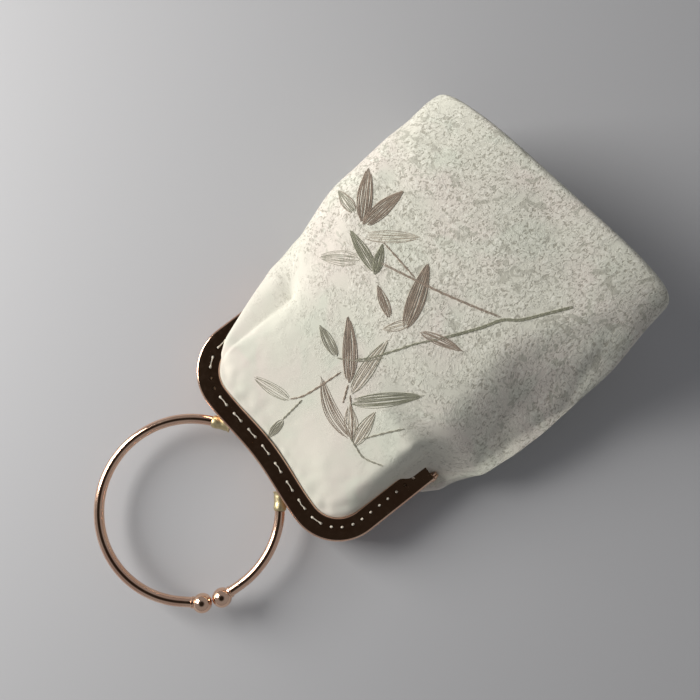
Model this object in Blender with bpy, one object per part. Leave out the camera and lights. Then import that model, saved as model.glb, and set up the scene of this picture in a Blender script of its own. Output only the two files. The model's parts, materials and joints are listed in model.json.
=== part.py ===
"""A small evening bag that lies on its back: a cream patterned cloth pouch with a bamboo sprig
embroidered on its front, sewn into a two-part hinged metal clasp frame. Each half of the frame
carries one arc of a split ring handle, and the two balls at the arcs' ends snap past each other
to hold the bag shut.

Metres, +Z up. The handle points to -Y and the base of the bag to +Y. The front half of the frame,
its arc, its ball and the cloth sewn into it turn upward about the two rivets at the leg ends."""

import math

import bmesh
import bpy
from mathutils import Matrix, Vector

CLEARANCE = 0.0003  # between pieces that touch on the real bag

# Clasp frame: two pressed channels, one above the other
FRAME_WIDTH = 0.125  # across the outer faces of the two legs
LEG_LENGTH = 0.066  # from the bar's outer edge to the hinge axis
FRAME_CORNER_RADIUS = 0.026
FACE_WIDTH = 0.0114  # the pierced face, from outer edge to inner edge
HALF_DEPTH = 0.006  # of one channel, from the parting plane to its face
SHEET = 0.0008
EDGE_ROLL = 0.0011  # radius of the rolled outer edge
FACE_FALL = 0.0007  # the face's inner edge lies lower than its outer edge by this
LIP_WIDTH = 0.0042  # of the inner lip that backs the cloth
BAR_BOW = 0.0022  # the middle of the bar is pulled toward the bag
CLASP_HEIGHT = 0.014  # of the parting plane above the surface that the bag lies on

# Sewing holes and thread
HOLE_PITCH = 0.0052
HOLE_RADIUS = 0.0008
HOLE_INSET = 0.0069  # from the frame's outer edge to the row of holes
HOLE_END_MARGIN = 0.008  # from the hinge axis to the last hole
THREAD_RADIUS = 0.00032

# Hinge ears and rivets
EAR_RADIUS = 0.0034
EAR_TAB_LENGTH = 0.007
EAR_STEP = 0.0001  # each ear is this much thicker than the sheet on either side
RIVET_RADIUS = 0.001
RIVET_HEAD_RADIUS = 0.002
RIVET_HEAD_HEIGHT = 0.0007

# Split ring handle with a ball on each arc
RING_RADIUS = 0.0445  # to the middle of the tube
RING_TUBE_RADIUS = 0.0025
RING_CENTRE_DISTANCE = 0.0385  # from the bar's outer edge out to the ring's centre
BALL_RADIUS = 0.0048
BALL_OFFSET = 0.0012  # the balls stand out from the ring's circle
CLASP_ANGLE = math.radians(-22.5)  # where the two balls meet
RUN_OUT_ANGLE = math.radians(12)  # each tube is straight for this last stretch before its ball
COLLAR_RADIUS = 0.0029
COLLAR_LENGTH = 0.0016
FOOT_RADIUS = 0.0031  # sleeve that joins a tube to the frame
FOOT_LENGTH = 0.0085

# Pouch
CLOTH = 0.0012  # face cloth with its backing
LINING = 0.0005
POUCH_LENGTH = 0.190  # from the bar's outer edge to the base, along the middle
BASE_HEIGHT = 0.073
MOUTH_OVERHANG = 0.0095  # the pouch is this much wider than the frame on each side, at the hinges
BASE_OVERHANG = 0.011  # and at the base
SEAM_OVERHANG = 0.002  # the seams between the front or back and the gussets
LEFT_BULGE = 0.0005
RIGHT_BULGE = 0.0105
FRONT_BULGE = 0.003
LEAN = 0.012  # halfway along, the front has slid to the left of the back by this much
MOUTH_ROUNDNESS = 2.2  # exponent of the cross-section at the mouth, an ellipse at 2
BASE_ROUNDNESS = 4.5  # and at the base, almost a rectangle
BELLY_SINK = 0.0015  # the soft back is flattened by this much where it lies
BASE_TURN = math.radians(9)  # the soft pouch lies a little askew of its frame
CLOTH_INSET = 0.0038  # from the frame's outer edge to the cloth's edge in the channel
CLOTH_SEAT = 0.0036  # from the parting plane to the cloth's outer side in the channel
FOLD_LENGTH = 0.020  # of the strip at the hinge line that folds as the clasp opens
GUSSET_LEAD = 0.008  # the gussets start this far ahead of the hinge line
BACK_SAG_LENGTH = 0.012  # the back drops from the channel to the table over this length
BAR_RISE_LENGTH = 0.030  # the front swells from the channel to its full height over this, at the bar
SIDE_RISE_LENGTH = 0.014  # and beside the legs, where it stands up steeply
EDGE_PUFF = 0.002  # the stuffed cloth between the legs stands this much higher than a straight run
EDGE_MARGIN = 0.003  # the cloth stays level this far past the frame's inner edge
BOARD = 0.0015
BOARD_MARGIN = 0.003

# Embroidery: satin-stitched pads on the front. Places are (across, along) on the pouch, across
# from its middle line and along from the bar's outer edge. They are drawn in millimetres for a bag
# of these three sizes, and stretch with the real one.
PATTERN_WIDTH = 125.0  # of the frame
PATTERN_LEG = 66.0
PATTERN_LENGTH = 190.0  # of the pouch
PAD = 0.0005  # how far a leaf stands up along its middle
PAD_LIFT = 0.0004  # the backs of the pads lie this far off the cloth
TWIG_WIDTH = 0.0011
LEAF_TIP_WIDTH = 0.0003

# Each leaf: name, tip, base, width in millimetres, thread
LEAVES = (
    ("leaf_01", (-62.0, 118.5), (-54.5, 115.5), 4.0, "sage"),
    ("leaf_02", (-61.0, 136.5), (-49.5, 116.0), 7.5, "umber"),
    ("leaf_03", (-42.0, 139.0), (-44.5, 115.5), 6.5, "umber"),
    ("leaf_04", (-20.5, 130.0), (-41.5, 111.0), 5.0, "ivory"),
    ("leaf_05", (-50.0, 108.0), (-29.5, 103.0), 5.0, "olive"),
    ("leaf_06", (-32.5, 114.5), (-25.5, 104.5), 4.0, "olive"),
    ("leaf_07", (-54.0, 88.0), (-37.5, 100.0), 5.0, "ivory"),
    ("leaf_08", (-10.5, 124.5), (1.5, 97.5), 8.5, "umber"),
    ("leaf_09", (-22.0, 100.0), (-7.5, 94.5), 3.5, "umber"),
    ("leaf_10", (29.5, 109.5), (9.5, 101.0), 3.5, "umber"),
    ("leaf_11", (-32.0, 68.0), (-14.5, 65.0), 4.0, "sage"),
    ("leaf_12", (-24.0, 80.5), (-2.0, 63.0), 7.0, "umber"),
    ("leaf_13", (-1.5, 88.0), (4.0, 62.0), 5.5, "ivory"),
    ("leaf_14", (-33.0, 25.5), (-13.5, 33.0), 4.5, "olive"),
    ("leaf_15", (-4.0, 15.5), (-6.5, 23.5), 3.0, "sage"),
    ("leaf_16", (-8.5, 52.0), (18.5, 46.0), 4.5, "umber"),
    ("leaf_17", (29.5, 84.5), (8.5, 57.0), 7.0, "olive"),
    ("leaf_18", (18.0, 62.5), (24.5, 48.0), 5.5, "ivory"),
)
# Each twig: name, the points it passes through, thread
TWIGS = (
    ("twig_main", ((48.0, 155.0), (43.0, 145.0), (32.5, 130.5), (28.0, 121.5), (22.5, 112.5)), "olive"),
    ("twig_side", ((29.5, 130.0), (17.5, 125.0), (0.5, 118.0)), "umber"),
    ("twig_tip", ((-12.5, 113.0), (-18.5, 111.0), (-24.0, 109.0)), "umber"),
    ("twig_upper", ((-14.0, 116.0), (-29.0, 116.3)), "sage"),
    ("twig_middle", ((10.0, 95.5), (6.5, 90.5), (3.5, 86.0)), "olive"),
    ("twig_cross", ((-11.5, 61.0), (-12.0, 49.0), (-11.5, 39.5), (-12.0, 35.5)), "umber"),
    ("twig_low", ((-8.5, 38.5), (-7.0, 25.5)), "sage"),
    ("twig_lower", ((5.5, 55.5), (12.5, 51.0)), "umber"),
    ("twig_trail", ((27.0, 52.0), (33.0, 63.5)), "sage"),
    ("twig_end", ((22.5, 45.0), (32.5, 44.8), (41.0, 49.5)), "sage"),
)
THREADS = {
    "umber": (0.36, 0.31, 0.25),
    "sage": (0.50, 0.50, 0.43),
    "olive": (0.42, 0.44, 0.34),
    "ivory": (0.70, 0.67, 0.56),
}

COLUMNS = 12  # faces across a panel

FOLD_END = LEG_LENGTH + FOLD_LENGTH
LEG_HALF = FRAME_WIDTH / 2
SEAM_HALF_WIDTH = LEG_HALF + SEAM_OVERHANG


def smooth(t):
    """Eased step from 0 to 1."""
    t = min(max(t, 0.0), 1.0)
    return t * t * (3 - 2 * t)


def mix(a, b, t):
    return a + (b - a) * t


def steps(start, end, count):
    """count + 1 evenly spaced values from start to end."""
    return [mix(start, end, i / count) for i in range(count + 1)]


def make_material(name, colour, roughness, metallic=0.0):
    material = bpy.data.materials.new(name)
    material.use_nodes = True
    shader = material.node_tree.nodes["Principled BSDF"]
    shader.inputs["Base Color"].default_value = (*colour, 1)
    shader.inputs["Roughness"].default_value = roughness
    shader.inputs["Metallic"].default_value = metallic
    return material


def make_empty(name, location, parent=None):
    empty = bpy.data.objects.new(name, None)
    bpy.context.collection.objects.link(empty)
    empty.location = location
    empty.parent = parent
    return empty


def make_object(name, bm, material, parent):
    """Turn a bmesh given in the bag's own frame into an object that hangs on its parent empty."""
    bmesh.ops.recalc_face_normals(bm, faces=bm.faces)
    if parent is hinge:
        bmesh.ops.translate(bm, verts=bm.verts, vec=-hinge.location)
    mesh = bpy.data.meshes.new(name)
    bm.to_mesh(mesh)
    bm.free()
    mesh.materials.append(material)
    mesh.shade_smooth()
    mesh.set_sharp_from_angle(angle=math.radians(35))
    obj = bpy.data.objects.new(name, mesh)
    bpy.context.collection.objects.link(obj)
    obj.parent = parent
    return obj


def make_cutter(name, bm, parent):
    cutter = make_object(name, bm, guide_material, parent)
    cutter.hide_render = True
    cutter.display_type = "WIRE"
    return cutter


def boolean(obj, other, operation):
    modifier = obj.modifiers.new(other.name, "BOOLEAN")
    modifier.operation = operation
    modifier.object = other


def skin(rings):
    """Join rings of points into one closed solid, with a flat cap at each end."""
    bm = bmesh.new()
    made = [[bm.verts.new(point) for point in ring] for ring in rings]
    for near, far in zip(made[:-1], made[1:]):
        for i in range(len(near)):
            j = (i + 1) % len(near)
            bm.faces.new((near[i], near[j], far[j], far[i]))
    bm.faces.new(made[0][::-1])
    bm.faces.new(made[-1])
    return bm


def sheet(outer, inner):
    """Close two grids of points, one on each side of a cloth, into one thin solid."""
    bm = bmesh.new()
    sides = [[[bm.verts.new(point) for point in row] for row in grid] for grid in (outer, inner)]
    rows, columns = len(outer), len(outer[0])
    for side in sides:
        for r in range(rows - 1):
            for c in range(columns - 1):
                bm.faces.new((side[r][c], side[r][c + 1], side[r + 1][c + 1], side[r + 1][c]))
    rim = [(0, c) for c in range(columns)]
    rim += [(r, columns - 1) for r in range(1, rows)]
    rim += [(rows - 1, c) for c in range(columns - 2, -1, -1)]
    rim += [(r, 0) for r in range(rows - 2, 0, -1)]
    for (r, c), (s, d) in zip(rim, rim[1:] + rim[:1]):
        bm.faces.new((sides[0][r][c], sides[0][s][d], sides[1][s][d], sides[1][r][c]))
    return bm


def lathe(profile, origin, direction, segments):
    """Turn (radius, distance) points about an axis, with flat ends."""
    turn = direction.to_track_quat("Z", "Y").to_matrix()
    rings = []
    for radius, distance in profile:
        circle = [Vector((radius * math.cos(a), radius * math.sin(a), distance))
                  for a in steps(0, math.tau, segments)[:-1]]
        rings.append([origin + turn @ point for point in circle])
    return skin(rings)


def tube(name, points, radius, resolution, material, parent):
    """A bent round tube or thread along a line of points."""
    curve = bpy.data.curves.new(name, "CURVE")
    curve.dimensions = "3D"
    curve.bevel_depth = radius
    curve.bevel_resolution = resolution
    curve.use_fill_caps = True
    spline = curve.splines.new("POLY")
    spline.points.add(len(points) - 1)
    for slot, point in zip(spline.points, points):
        shifted = point - hinge.location if parent is hinge else point
        slot.co = (*shifted, 1)
    curve.materials.append(material)
    obj = bpy.data.objects.new(name, curve)
    bpy.context.collection.objects.link(obj)
    obj.parent = parent
    return obj


# The frame's outline

def bar_bow(x):
    """How far the bar's outer edge is pulled toward the bag at x."""
    straight = LEG_HALF - FRAME_CORNER_RADIUS
    if abs(x) >= straight:
        return 0.0
    return BAR_BOW * (0.5 + 0.5 * math.cos(math.pi * x / straight))


def frame_path(leg_end, leg_steps=2, corner_steps=6, bar_steps=10):
    """Points and inward directions along the outer edge, from the left leg's end to the right's."""
    corner_x = LEG_HALF - FRAME_CORNER_RADIUS
    half = [(Vector((LEG_HALF, y)), Vector((-1, 0)))
            for y in steps(leg_end, FRAME_CORNER_RADIUS, leg_steps)[:-1]]
    for angle in steps(0, math.pi / 2, corner_steps):
        out = Vector((math.cos(angle), -math.sin(angle)))
        centre = Vector((corner_x, FRAME_CORNER_RADIUS))
        half.append((centre + out * FRAME_CORNER_RADIUS, -out))
    bar = [(Vector((x, bar_bow(x))), Vector((0, 1))) for x in steps(-corner_x, corner_x, bar_steps)]
    left = [(Vector((-p.x, p.y)), Vector((-n.x, n.y))) for p, n in half]
    return left[:-1] + bar + half[-2::-1]


def channel_section():
    """The pressed channel, as (inset from the outer edge, height from the parting plane)."""
    top, low = HALF_DEPTH, CLEARANCE / 2
    roll = [(EDGE_ROLL * (1 - math.cos(a)), top - EDGE_ROLL * (1 - math.sin(a)))
            for a in steps(0, math.pi / 2, 4)]
    face_end = top - FACE_FALL
    outer = [(0, low)] + roll + [(FACE_WIDTH - SHEET, face_end), (FACE_WIDTH, face_end - SHEET)]
    inner = [(FACE_WIDTH - SHEET, face_end - SHEET), (EDGE_ROLL + SHEET / 2, top - SHEET),
             (SHEET, top - EDGE_ROLL - SHEET / 2), (SHEET, low + SHEET),
             (LIP_WIDTH, low + SHEET), (LIP_WIDTH, low)]
    return outer + inner


def face_height(inset):
    """Height of the pierced face above the parting plane, at an inset from the outer edge."""
    return HALF_DEPTH - FACE_FALL * (inset - EDGE_ROLL) / (FACE_WIDTH - SHEET - EDGE_ROLL)


def channel(side, leg_end):
    """One half of the frame, swept round the outline: side is 1 for the front, -1 for the back."""
    rings = []
    for point, inward in frame_path(leg_end):
        ring = []
        for inset, height in channel_section():
            at = point + inward * inset
            ring.append(Vector((at.x, at.y, CLASP_HEIGHT + side * height)))
        rings.append(ring)
    return skin(rings)


def hole_points():
    """Where the sewing holes lie, evenly spaced round the frame."""
    dense = frame_path(LEG_LENGTH - HOLE_END_MARGIN, leg_steps=12, corner_steps=16, bar_steps=40)
    line = [point + inward * HOLE_INSET for point, inward in dense]
    lengths = [0.0]
    for a, b in zip(line[:-1], line[1:]):
        lengths.append(lengths[-1] + (b - a).length)
    count = int(lengths[-1] / HOLE_PITCH)
    found = []
    k = 0
    for target in steps(0, lengths[-1], count):
        while k < len(line) - 2 and lengths[k + 1] < target:
            k += 1
        part = (target - lengths[k]) / (lengths[k + 1] - lengths[k])
        found.append(line[k].lerp(line[k + 1], part))
    return found


def hole_cutter(name, side, parent):
    """All the sewing holes of one half, as short six-sided plugs through its face."""
    bm = bmesh.new()
    depth = 3 * SHEET
    middle = CLASP_HEIGHT + side * (face_height(HOLE_INSET) - SHEET / 2)
    for point in hole_points():
        place = Matrix.Translation((point.x, point.y, middle))
        bmesh.ops.create_cone(bm, cap_ends=True, segments=6, radius1=HOLE_RADIUS,
                              radius2=HOLE_RADIUS, depth=depth, matrix=place)
    return make_cutter(name, bm, parent)


def ear_layers():
    """Distances from the middle of the bag to the faces of the outer and the inner hinge ear."""
    outer = (LEG_HALF - SHEET - EAR_STEP, LEG_HALF + EAR_STEP)
    inner = (outer[0] - CLEARANCE - SHEET - 2 * EAR_STEP, outer[0] - CLEARANCE)
    return outer, inner


def ear(name, hand, span, parent):
    """A round hinge ear about the rivet, at one leg's end."""
    start = Vector((hand * span[0], LEG_LENGTH, CLASP_HEIGHT))
    disc = lathe([(EAR_RADIUS, 0), (EAR_RADIUS, span[1] - span[0])], start, Vector((hand, 0, 0)), 20)
    return make_cutter(name, disc, parent)


def prism(hand, outline, low, high):
    """An upright prism over an outline given for the right leg, on the leg of the given hand."""
    return skin([[Vector((hand * x, y, z)) for x, y in outline] for z in (low, high)])


def rivet_bore(name, hand, parent):
    """The hole for a rivet through one leg's ears."""
    start = Vector((hand * (LEG_HALF - 4 * SHEET), LEG_LENGTH, CLASP_HEIGHT))
    radius = RIVET_RADIUS + CLEARANCE
    bore = lathe([(radius, 0), (radius, 6 * SHEET)], start, Vector((hand, 0, 0)), 12)
    return make_cutter(name, bore, parent)


def build_front_frame():
    """The upper half: its outer walls end in round ears outside those of the lower half."""
    frame = make_object("front_frame", channel(1, LEG_LENGTH), rose_metal, hinge)
    outer, _ = ear_layers()
    for hand, tag in ((-1, "left"), (1, "right")):
        reach = EAR_RADIUS + 3 * CLEARANCE
        near, far = LEG_HALF - LIP_WIDTH - CLEARANCE, LEG_HALF - SHEET + EAR_STEP
        start, end = LEG_LENGTH - reach, LEG_LENGTH + reach
        outline = ((near, start), (far, start), (far, end), (near, end))
        notch = prism(hand, outline, CLASP_HEIGHT - SHEET, CLASP_HEIGHT + EAR_RADIUS)
        boolean(frame, make_cutter(f"front_lip_relief_{tag}", notch, hinge), "DIFFERENCE")
        boolean(frame, ear(f"front_ear_{tag}", hand, outer, hinge), "UNION")
        boolean(frame, rivet_bore(f"front_bore_{tag}", hand, hinge), "DIFFERENCE")
    boolean(frame, hole_cutter("front_holes", 1, hinge), "DIFFERENCE")


def build_back_frame():
    """The lower half: its legs end short, and joggled tabs carry the ears inside the upper half's."""
    leg_end = LEG_LENGTH - EAR_RADIUS - 3 * CLEARANCE
    frame = make_object("back_frame", channel(-1, leg_end), rose_metal, root)
    _, inner = ear_layers()
    for hand, tag in ((-1, "left"), (1, "right")):
        near, far, weld = inner[0] + EAR_STEP, inner[1] - EAR_STEP, LEG_HALF - SHEET / 2
        start, step = leg_end - EAR_TAB_LENGTH, leg_end - SHEET
        outline = ((near, start), (weld, start), (weld, step), (far, step), (far, LEG_LENGTH),
                   (near, LEG_LENGTH))
        tab = prism(hand, outline, CLASP_HEIGHT - 0.8 * EAR_RADIUS, CLASP_HEIGHT - CLEARANCE)
        boolean(frame, make_cutter(f"back_tab_{tag}", tab, root), "UNION")
        boolean(frame, ear(f"back_ear_{tag}", hand, inner, root), "UNION")
        boolean(frame, rivet_bore(f"back_bore_{tag}", hand, root), "DIFFERENCE")
    boolean(frame, hole_cutter("back_holes", -1, root), "DIFFERENCE")


def build_rivets():
    """Two headed rivets, the hinge pins of the clasp."""
    outer, inner = ear_layers()
    for hand, tag in ((-1, "left"), (1, "right")):
        inside = inner[0] - CLEARANCE
        outside = outer[1] + CLEARANCE
        start = Vector((hand * (inside - RIVET_HEAD_HEIGHT), LEG_LENGTH, CLASP_HEIGHT))
        shank = outside - inside
        end = shank + 2 * RIVET_HEAD_HEIGHT
        profile = [(RIVET_HEAD_RADIUS, 0), (RIVET_HEAD_RADIUS, RIVET_HEAD_HEIGHT),
                   (RIVET_RADIUS, RIVET_HEAD_HEIGHT), (RIVET_RADIUS, RIVET_HEAD_HEIGHT + shank),
                   (RIVET_HEAD_RADIUS, RIVET_HEAD_HEIGHT + shank),
                   (0.6 * RIVET_HEAD_RADIUS, end)]
        bm = lathe(profile, start, Vector((hand, 0, 0)), 12)
        make_object(f"hinge_rivet_{tag}", bm, rose_metal, root)


def build_thread(name, side, parent):
    """One running stitch that dips through every hole, over the face and under it in turn."""
    over = face_height(HOLE_INSET) + THREAD_RADIUS + CLEARANCE / 2
    under = face_height(HOLE_INSET) - SHEET - THREAD_RADIUS - CLEARANCE / 2
    points = []
    for i, hole in enumerate(hole_points()):
        heights = (under, over) if i % 2 == 0 else (over, under)
        points += [Vector((hole.x, hole.y, CLASP_HEIGHT + side * height)) for height in heights]
    tube(name, points, THREAD_RADIUS, 0, thread_material, parent)


# The split ring handle

def ring_point(angle, radius=RING_RADIUS):
    return Vector((radius * math.cos(angle), radius * math.sin(angle) - RING_CENTRE_DISTANCE,
                   CLASP_HEIGHT))


def foot_angle():
    """Where the ring's circle meets the bar's outer edge, on the right."""
    angle = 1.0
    for _ in range(8):
        wall = bar_bow(RING_RADIUS * math.cos(angle))
        angle = math.asin((RING_CENTRE_DISTANCE + wall) / RING_RADIUS)
    return angle


def build_arc(tag, start, turn, ball_angle, parent):
    """One arc of the handle: foot, tube and ball. turn is 1 if it runs counter-clockwise."""
    sleeve_angle = start + turn * FOOT_LENGTH / RING_RADIUS
    toward_bar = Vector((turn * math.sin(sleeve_angle), -turn * math.cos(sleeve_angle), 0))
    sleeve_start = ring_point(sleeve_angle)
    reach = FOOT_LENGTH + 4 * FOOT_RADIUS
    profile = [(RING_TUBE_RADIUS * 0.9, 0), (FOOT_RADIUS, FOOT_RADIUS * 0.35), (FOOT_RADIUS, reach)]
    foot = make_object(f"{tag}_foot", lathe(profile, sleeve_start, toward_bar, 14), solder, parent)
    boolean(foot, frame_block(f"{tag}_foot_trim", parent), "DIFFERENCE")

    ball_radius_at = RING_RADIUS + BALL_OFFSET
    ball = ring_point(ball_angle, ball_radius_at)
    bend_angle = ball_angle - turn * RUN_OUT_ANGLE
    bend_start = ring_point(bend_angle)
    along = (ball - bend_start).normalized()
    neck = math.sqrt(BALL_RADIUS ** 2 - COLLAR_RADIUS ** 2)
    collar_start = ball - along * (neck + COLLAR_LENGTH)
    first = sleeve_angle + turn * CLEARANCE / RING_RADIUS
    arc_steps = max(4, round(abs(bend_angle - first) / math.radians(6)))
    line = [ring_point(a) for a in steps(first, bend_angle, arc_steps)]
    line.append(collar_start - along * CLEARANCE)
    tube(f"{tag}_arc", line, RING_TUBE_RADIUS, 3, rose_metal, parent)

    cap = math.asin(COLLAR_RADIUS / BALL_RADIUS)
    profile = [(COLLAR_RADIUS * 0.9, 0), (COLLAR_RADIUS, COLLAR_LENGTH * 0.3)]
    for a in steps(math.pi - cap, 0.16, 7):
        profile.append((BALL_RADIUS * math.sin(a), COLLAR_LENGTH + neck + BALL_RADIUS * math.cos(a)))
    make_object(f"{tag}_ball", lathe(profile, collar_start, along, 14), rose_metal, parent)


def frame_block(name, parent):
    """A thick band just inside the frame's outer wall, which trims the feet to seat on it."""
    rings = []
    for point, inward in frame_path(LEG_LENGTH):
        near = point - inward * CLEARANCE
        far = point + inward * 0.7 * FRAME_CORNER_RADIUS
        deep = 3 * HALF_DEPTH
        rings.append([Vector((at.x, at.y, CLASP_HEIGHT + height))
                      for at, height in ((near, -deep), (near, deep), (far, deep), (far, -deep))])
    return make_cutter(name, skin(rings), parent)


def build_handle():
    half_gap = math.asin((BALL_RADIUS + CLEARANCE / 2) / (RING_RADIUS + BALL_OFFSET))
    right = foot_angle()
    build_arc("back_handle", math.pi - right, 1, math.tau + CLASP_ANGLE - half_gap, root)
    build_arc("front_handle", right, -1, CLASP_ANGLE + half_gap, hinge)


# The pouch's outer form

def along_pouch(s):
    """0 at the hinge line, 1 at the base."""
    return min(max((s - LEG_LENGTH) / (POUCH_LENGTH - LEG_LENGTH), 0.0), 1.0)


def half_width(hand, s):
    """From the middle to the widest point, on the left for a hand below 0 and on the right above."""
    t = along_pouch(s)
    bulge = LEFT_BULGE if hand < 0 else RIGHT_BULGE
    return LEG_HALF + mix(MOUTH_OVERHANG, BASE_OVERHANG, t) + bulge * math.sin(math.pi * t)


def top_height(s):
    """Height of the front's middle line above the table."""
    t = min(max((s - FACE_WIDTH) / (POUCH_LENGTH - FACE_WIDTH), 0.0), 1.0)
    seat = CLASP_HEIGHT + CLOTH_SEAT
    return mix(seat, BASE_HEIGHT, t) + FRONT_BULGE * math.sin(math.pi * t)


def waist_height(s):
    """Height at which the cross-section is widest."""
    return mix(CLASP_HEIGHT + 0.002, BASE_HEIGHT / 2, along_pouch(s))


def roundness(s):
    return mix(MOUTH_ROUNDNESS, BASE_ROUNDNESS, smooth(along_pouch(s)))


def swell(x, s):
    """1 in the middle of the cross-section, 0 at its widest point."""
    n = roundness(s)
    share = min(abs(x) / half_width(x, s), 1.0)
    return (1 - share ** n) ** (1 / n)


def flap_half_width(y):
    """Half the width of the cloth between the legs."""
    if y >= FRAME_CORNER_RADIUS:
        return LEG_HALF - CLOTH_INSET
    radius = FRAME_CORNER_RADIUS - CLOTH_INSET
    rise = min(FRAME_CORNER_RADIUS - y, radius)
    return LEG_HALF - FRAME_CORNER_RADIUS + math.sqrt(radius ** 2 - rise ** 2)


def inset_at(x, y):
    """How far a point lies inside the frame's outer edge."""
    across = abs(x) - (LEG_HALF - FRAME_CORNER_RADIUS)
    down = FRAME_CORNER_RADIUS - (y - bar_bow(x))
    if across > 0 and down > 0:
        return FRAME_CORNER_RADIUS - math.hypot(across, down)
    return FRAME_CORNER_RADIUS - max(across, down)


def free_half_width(y):
    """Half the width of that cloth's free part, which has left the channel."""
    radius = FRAME_CORNER_RADIUS - FACE_WIDTH - EDGE_MARGIN
    rise = min(max(FRAME_CORNER_RADIUS - y, 0), radius)
    return LEG_HALF - FRAME_CORNER_RADIUS + math.sqrt(radius ** 2 - rise ** 2)


def freed(x, y, length):
    """0 while the cloth is in the channel, 1 once it is length away from the frame's inner edge."""
    clear = inset_at(x, y) - FACE_WIDTH - EDGE_MARGIN
    return min(max(clear / length, 0.0), 1.0)


def front_height(x, s):
    """Height of the front's outer side."""
    seat = CLASP_HEIGHT + CLOTH_SEAT
    held = min(s, LEG_LENGTH)
    beside = smooth(abs(x) / (LEG_HALF - FRAME_CORNER_RADIUS))
    length = mix(BAR_RISE_LENGTH, SIDE_RISE_LENGTH, beside)
    risen = math.sin(math.pi / 2 * freed(x, held, length))
    flap = seat + (top_height(held) + EDGE_PUFF - seat) * risen
    if s <= LEG_LENGTH:
        return flap
    below = max(s, FOLD_END)
    body = mix(waist_height(below), top_height(below), swell(x, below))
    return mix(flap, body, min((s - LEG_LENGTH) / FOLD_LENGTH, 1.0))


def back_height(x, s):
    """Height of the back's outer side: flat on the table over most of its width."""
    waist = waist_height(s)
    body = max(0.0, waist - (waist + BELLY_SINK) * swell(x, s))
    if s >= FOLD_END:
        return body
    seat = CLASP_HEIGHT - CLOTH_SEAT
    sag = smooth(freed(x, min(s, LEG_LENGTH), BACK_SAG_LENGTH))
    return mix(seat * (1 - sag), body, smooth((s - LEG_LENGTH) / FOLD_LENGTH))


def lay(x, s, z):
    """Place a point of the straight pouch on the bag as it lies, leaning and its base turned."""
    if s <= LEG_LENGTH:
        return Vector((x, s, z))
    x -= LEAN * math.sin(math.pi * along_pouch(s)) * z / BASE_HEIGHT
    turned = BASE_TURN * (s - LEG_LENGTH) / (POUCH_LENGTH - LEG_LENGTH)
    radius = (POUCH_LENGTH - LEG_LENGTH) / BASE_TURN
    middle_x = -radius * (1 - math.cos(turned))
    middle_y = LEG_LENGTH + radius * math.sin(turned)
    return Vector((middle_x + x * math.cos(turned), middle_y + x * math.sin(turned), z))


def shares(count):
    """Positions across a panel, closer together near its edges."""
    return [math.sin(v * math.pi / 2) for v in steps(-1, 1, count)]


def panel_grid(rows, place_at, height_at, depth, side):
    """A grid of points across the pouch, sunk by depth from its outer side."""
    grid = []
    for s in rows:
        line = []
        for share in shares(COLUMNS):
            x = place_at(share, s)
            bow = bar_bow(x) * (1 - smooth((s - CLOTH_INSET) / FRAME_CORNER_RADIUS))
            line.append(lay(x, s + bow, height_at(x, s) - side * depth))
        grid.append(line)
    return grid


def flap_rows(end, count):
    """Rows from the bar on, closer together where the cloth leaves the channel."""
    first = steps(CLOTH_INSET, FACE_WIDTH + EDGE_MARGIN, 2)
    return first + [mix(first[-1], end, t ** 1.35) for t in steps(0, 1, count)[1:]]


def cut_rows(rows, end):
    """The same rows for every layer, so that the layers nest, but ending at this layer's end."""
    return [s for s in rows if s < end - CLOTH] + [end]


def front_place(share, s):
    return share * (SEAM_HALF_WIDTH - CLEARANCE / 2)


def past_ears(s):
    """0 as far as the ears, 1 at the end of the fold."""
    clear = LEG_LENGTH + EAR_RADIUS + 2 * CLEARANCE
    return max(0.0, (s - clear) / (FOLD_END - clear))


def back_place(share, s):
    """Across the back: inside the channel at the mouth, out to the seams below."""
    return mix(share * flap_half_width(s), front_place(share, s), smooth(past_ears(s)))


def flap_place(share, y):
    """Across the cloth between the legs: only its outermost columns lie in the channel."""
    last = math.sin(math.pi / 2 * (COLUMNS - 2) / COLUMNS)
    free = free_half_width(y)
    if abs(share) < last + CLEARANCE:
        return free * share / last
    return math.copysign(flap_half_width(y), share)


def fold_place(share, s):
    """Across the folding strip, from the flap's edge to the seams."""
    return mix(flap_place(share, LEG_LENGTH), front_place(share, s), past_ears(s))


def build_layer(tag, depth, thickness, cloth, end):
    """The front, back and folding strip of one layer: the face cloth or the lining."""
    front_rows = cut_rows(steps(FOLD_END, POUCH_LENGTH, 8), end)
    back_rows = cut_rows(flap_rows(POUCH_LENGTH, 13), end)
    specs = (
        ("flap", flap_rows(LEG_LENGTH - CLEARANCE, 5), flap_place, front_height, 1, hinge),
        ("fold", steps(LEG_LENGTH, FOLD_END - CLEARANCE, 3), fold_place, front_height, 1, root),
        ("front", front_rows, front_place, front_height, 1, root),
        ("back", back_rows, back_place, back_height, -1, root),
    )
    for part, rows, place_at, height_at, side, parent in specs:
        outer = panel_grid(rows, place_at, height_at, depth, side)
        inner = panel_grid(rows, place_at, height_at, depth + thickness, side)
        make_object(f"{tag}_{part}", sheet(outer, inner), cloth, parent)


def gusset_point(hand, s, turn, depth):
    """A point on a gusset's cross-section: turn runs from -1 at the back seam to 1 at the front."""
    n = roundness(s)
    wide = half_width(hand, s) - depth
    edge = math.acos(((SEAM_HALF_WIDTH + CLEARANCE / 2) / wide) ** (n / 2))
    angle = turn * edge
    x = wide * math.cos(angle) ** (2 / n)
    waist = waist_height(s)
    rise = abs(math.sin(angle)) ** (2 / n)
    if turn >= 0:
        z = mix(waist, top_height(s) - depth, rise)
    else:
        z = max(depth, waist - (waist + BELLY_SINK - depth) * rise)
    return lay(hand * x, s, z)


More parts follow.
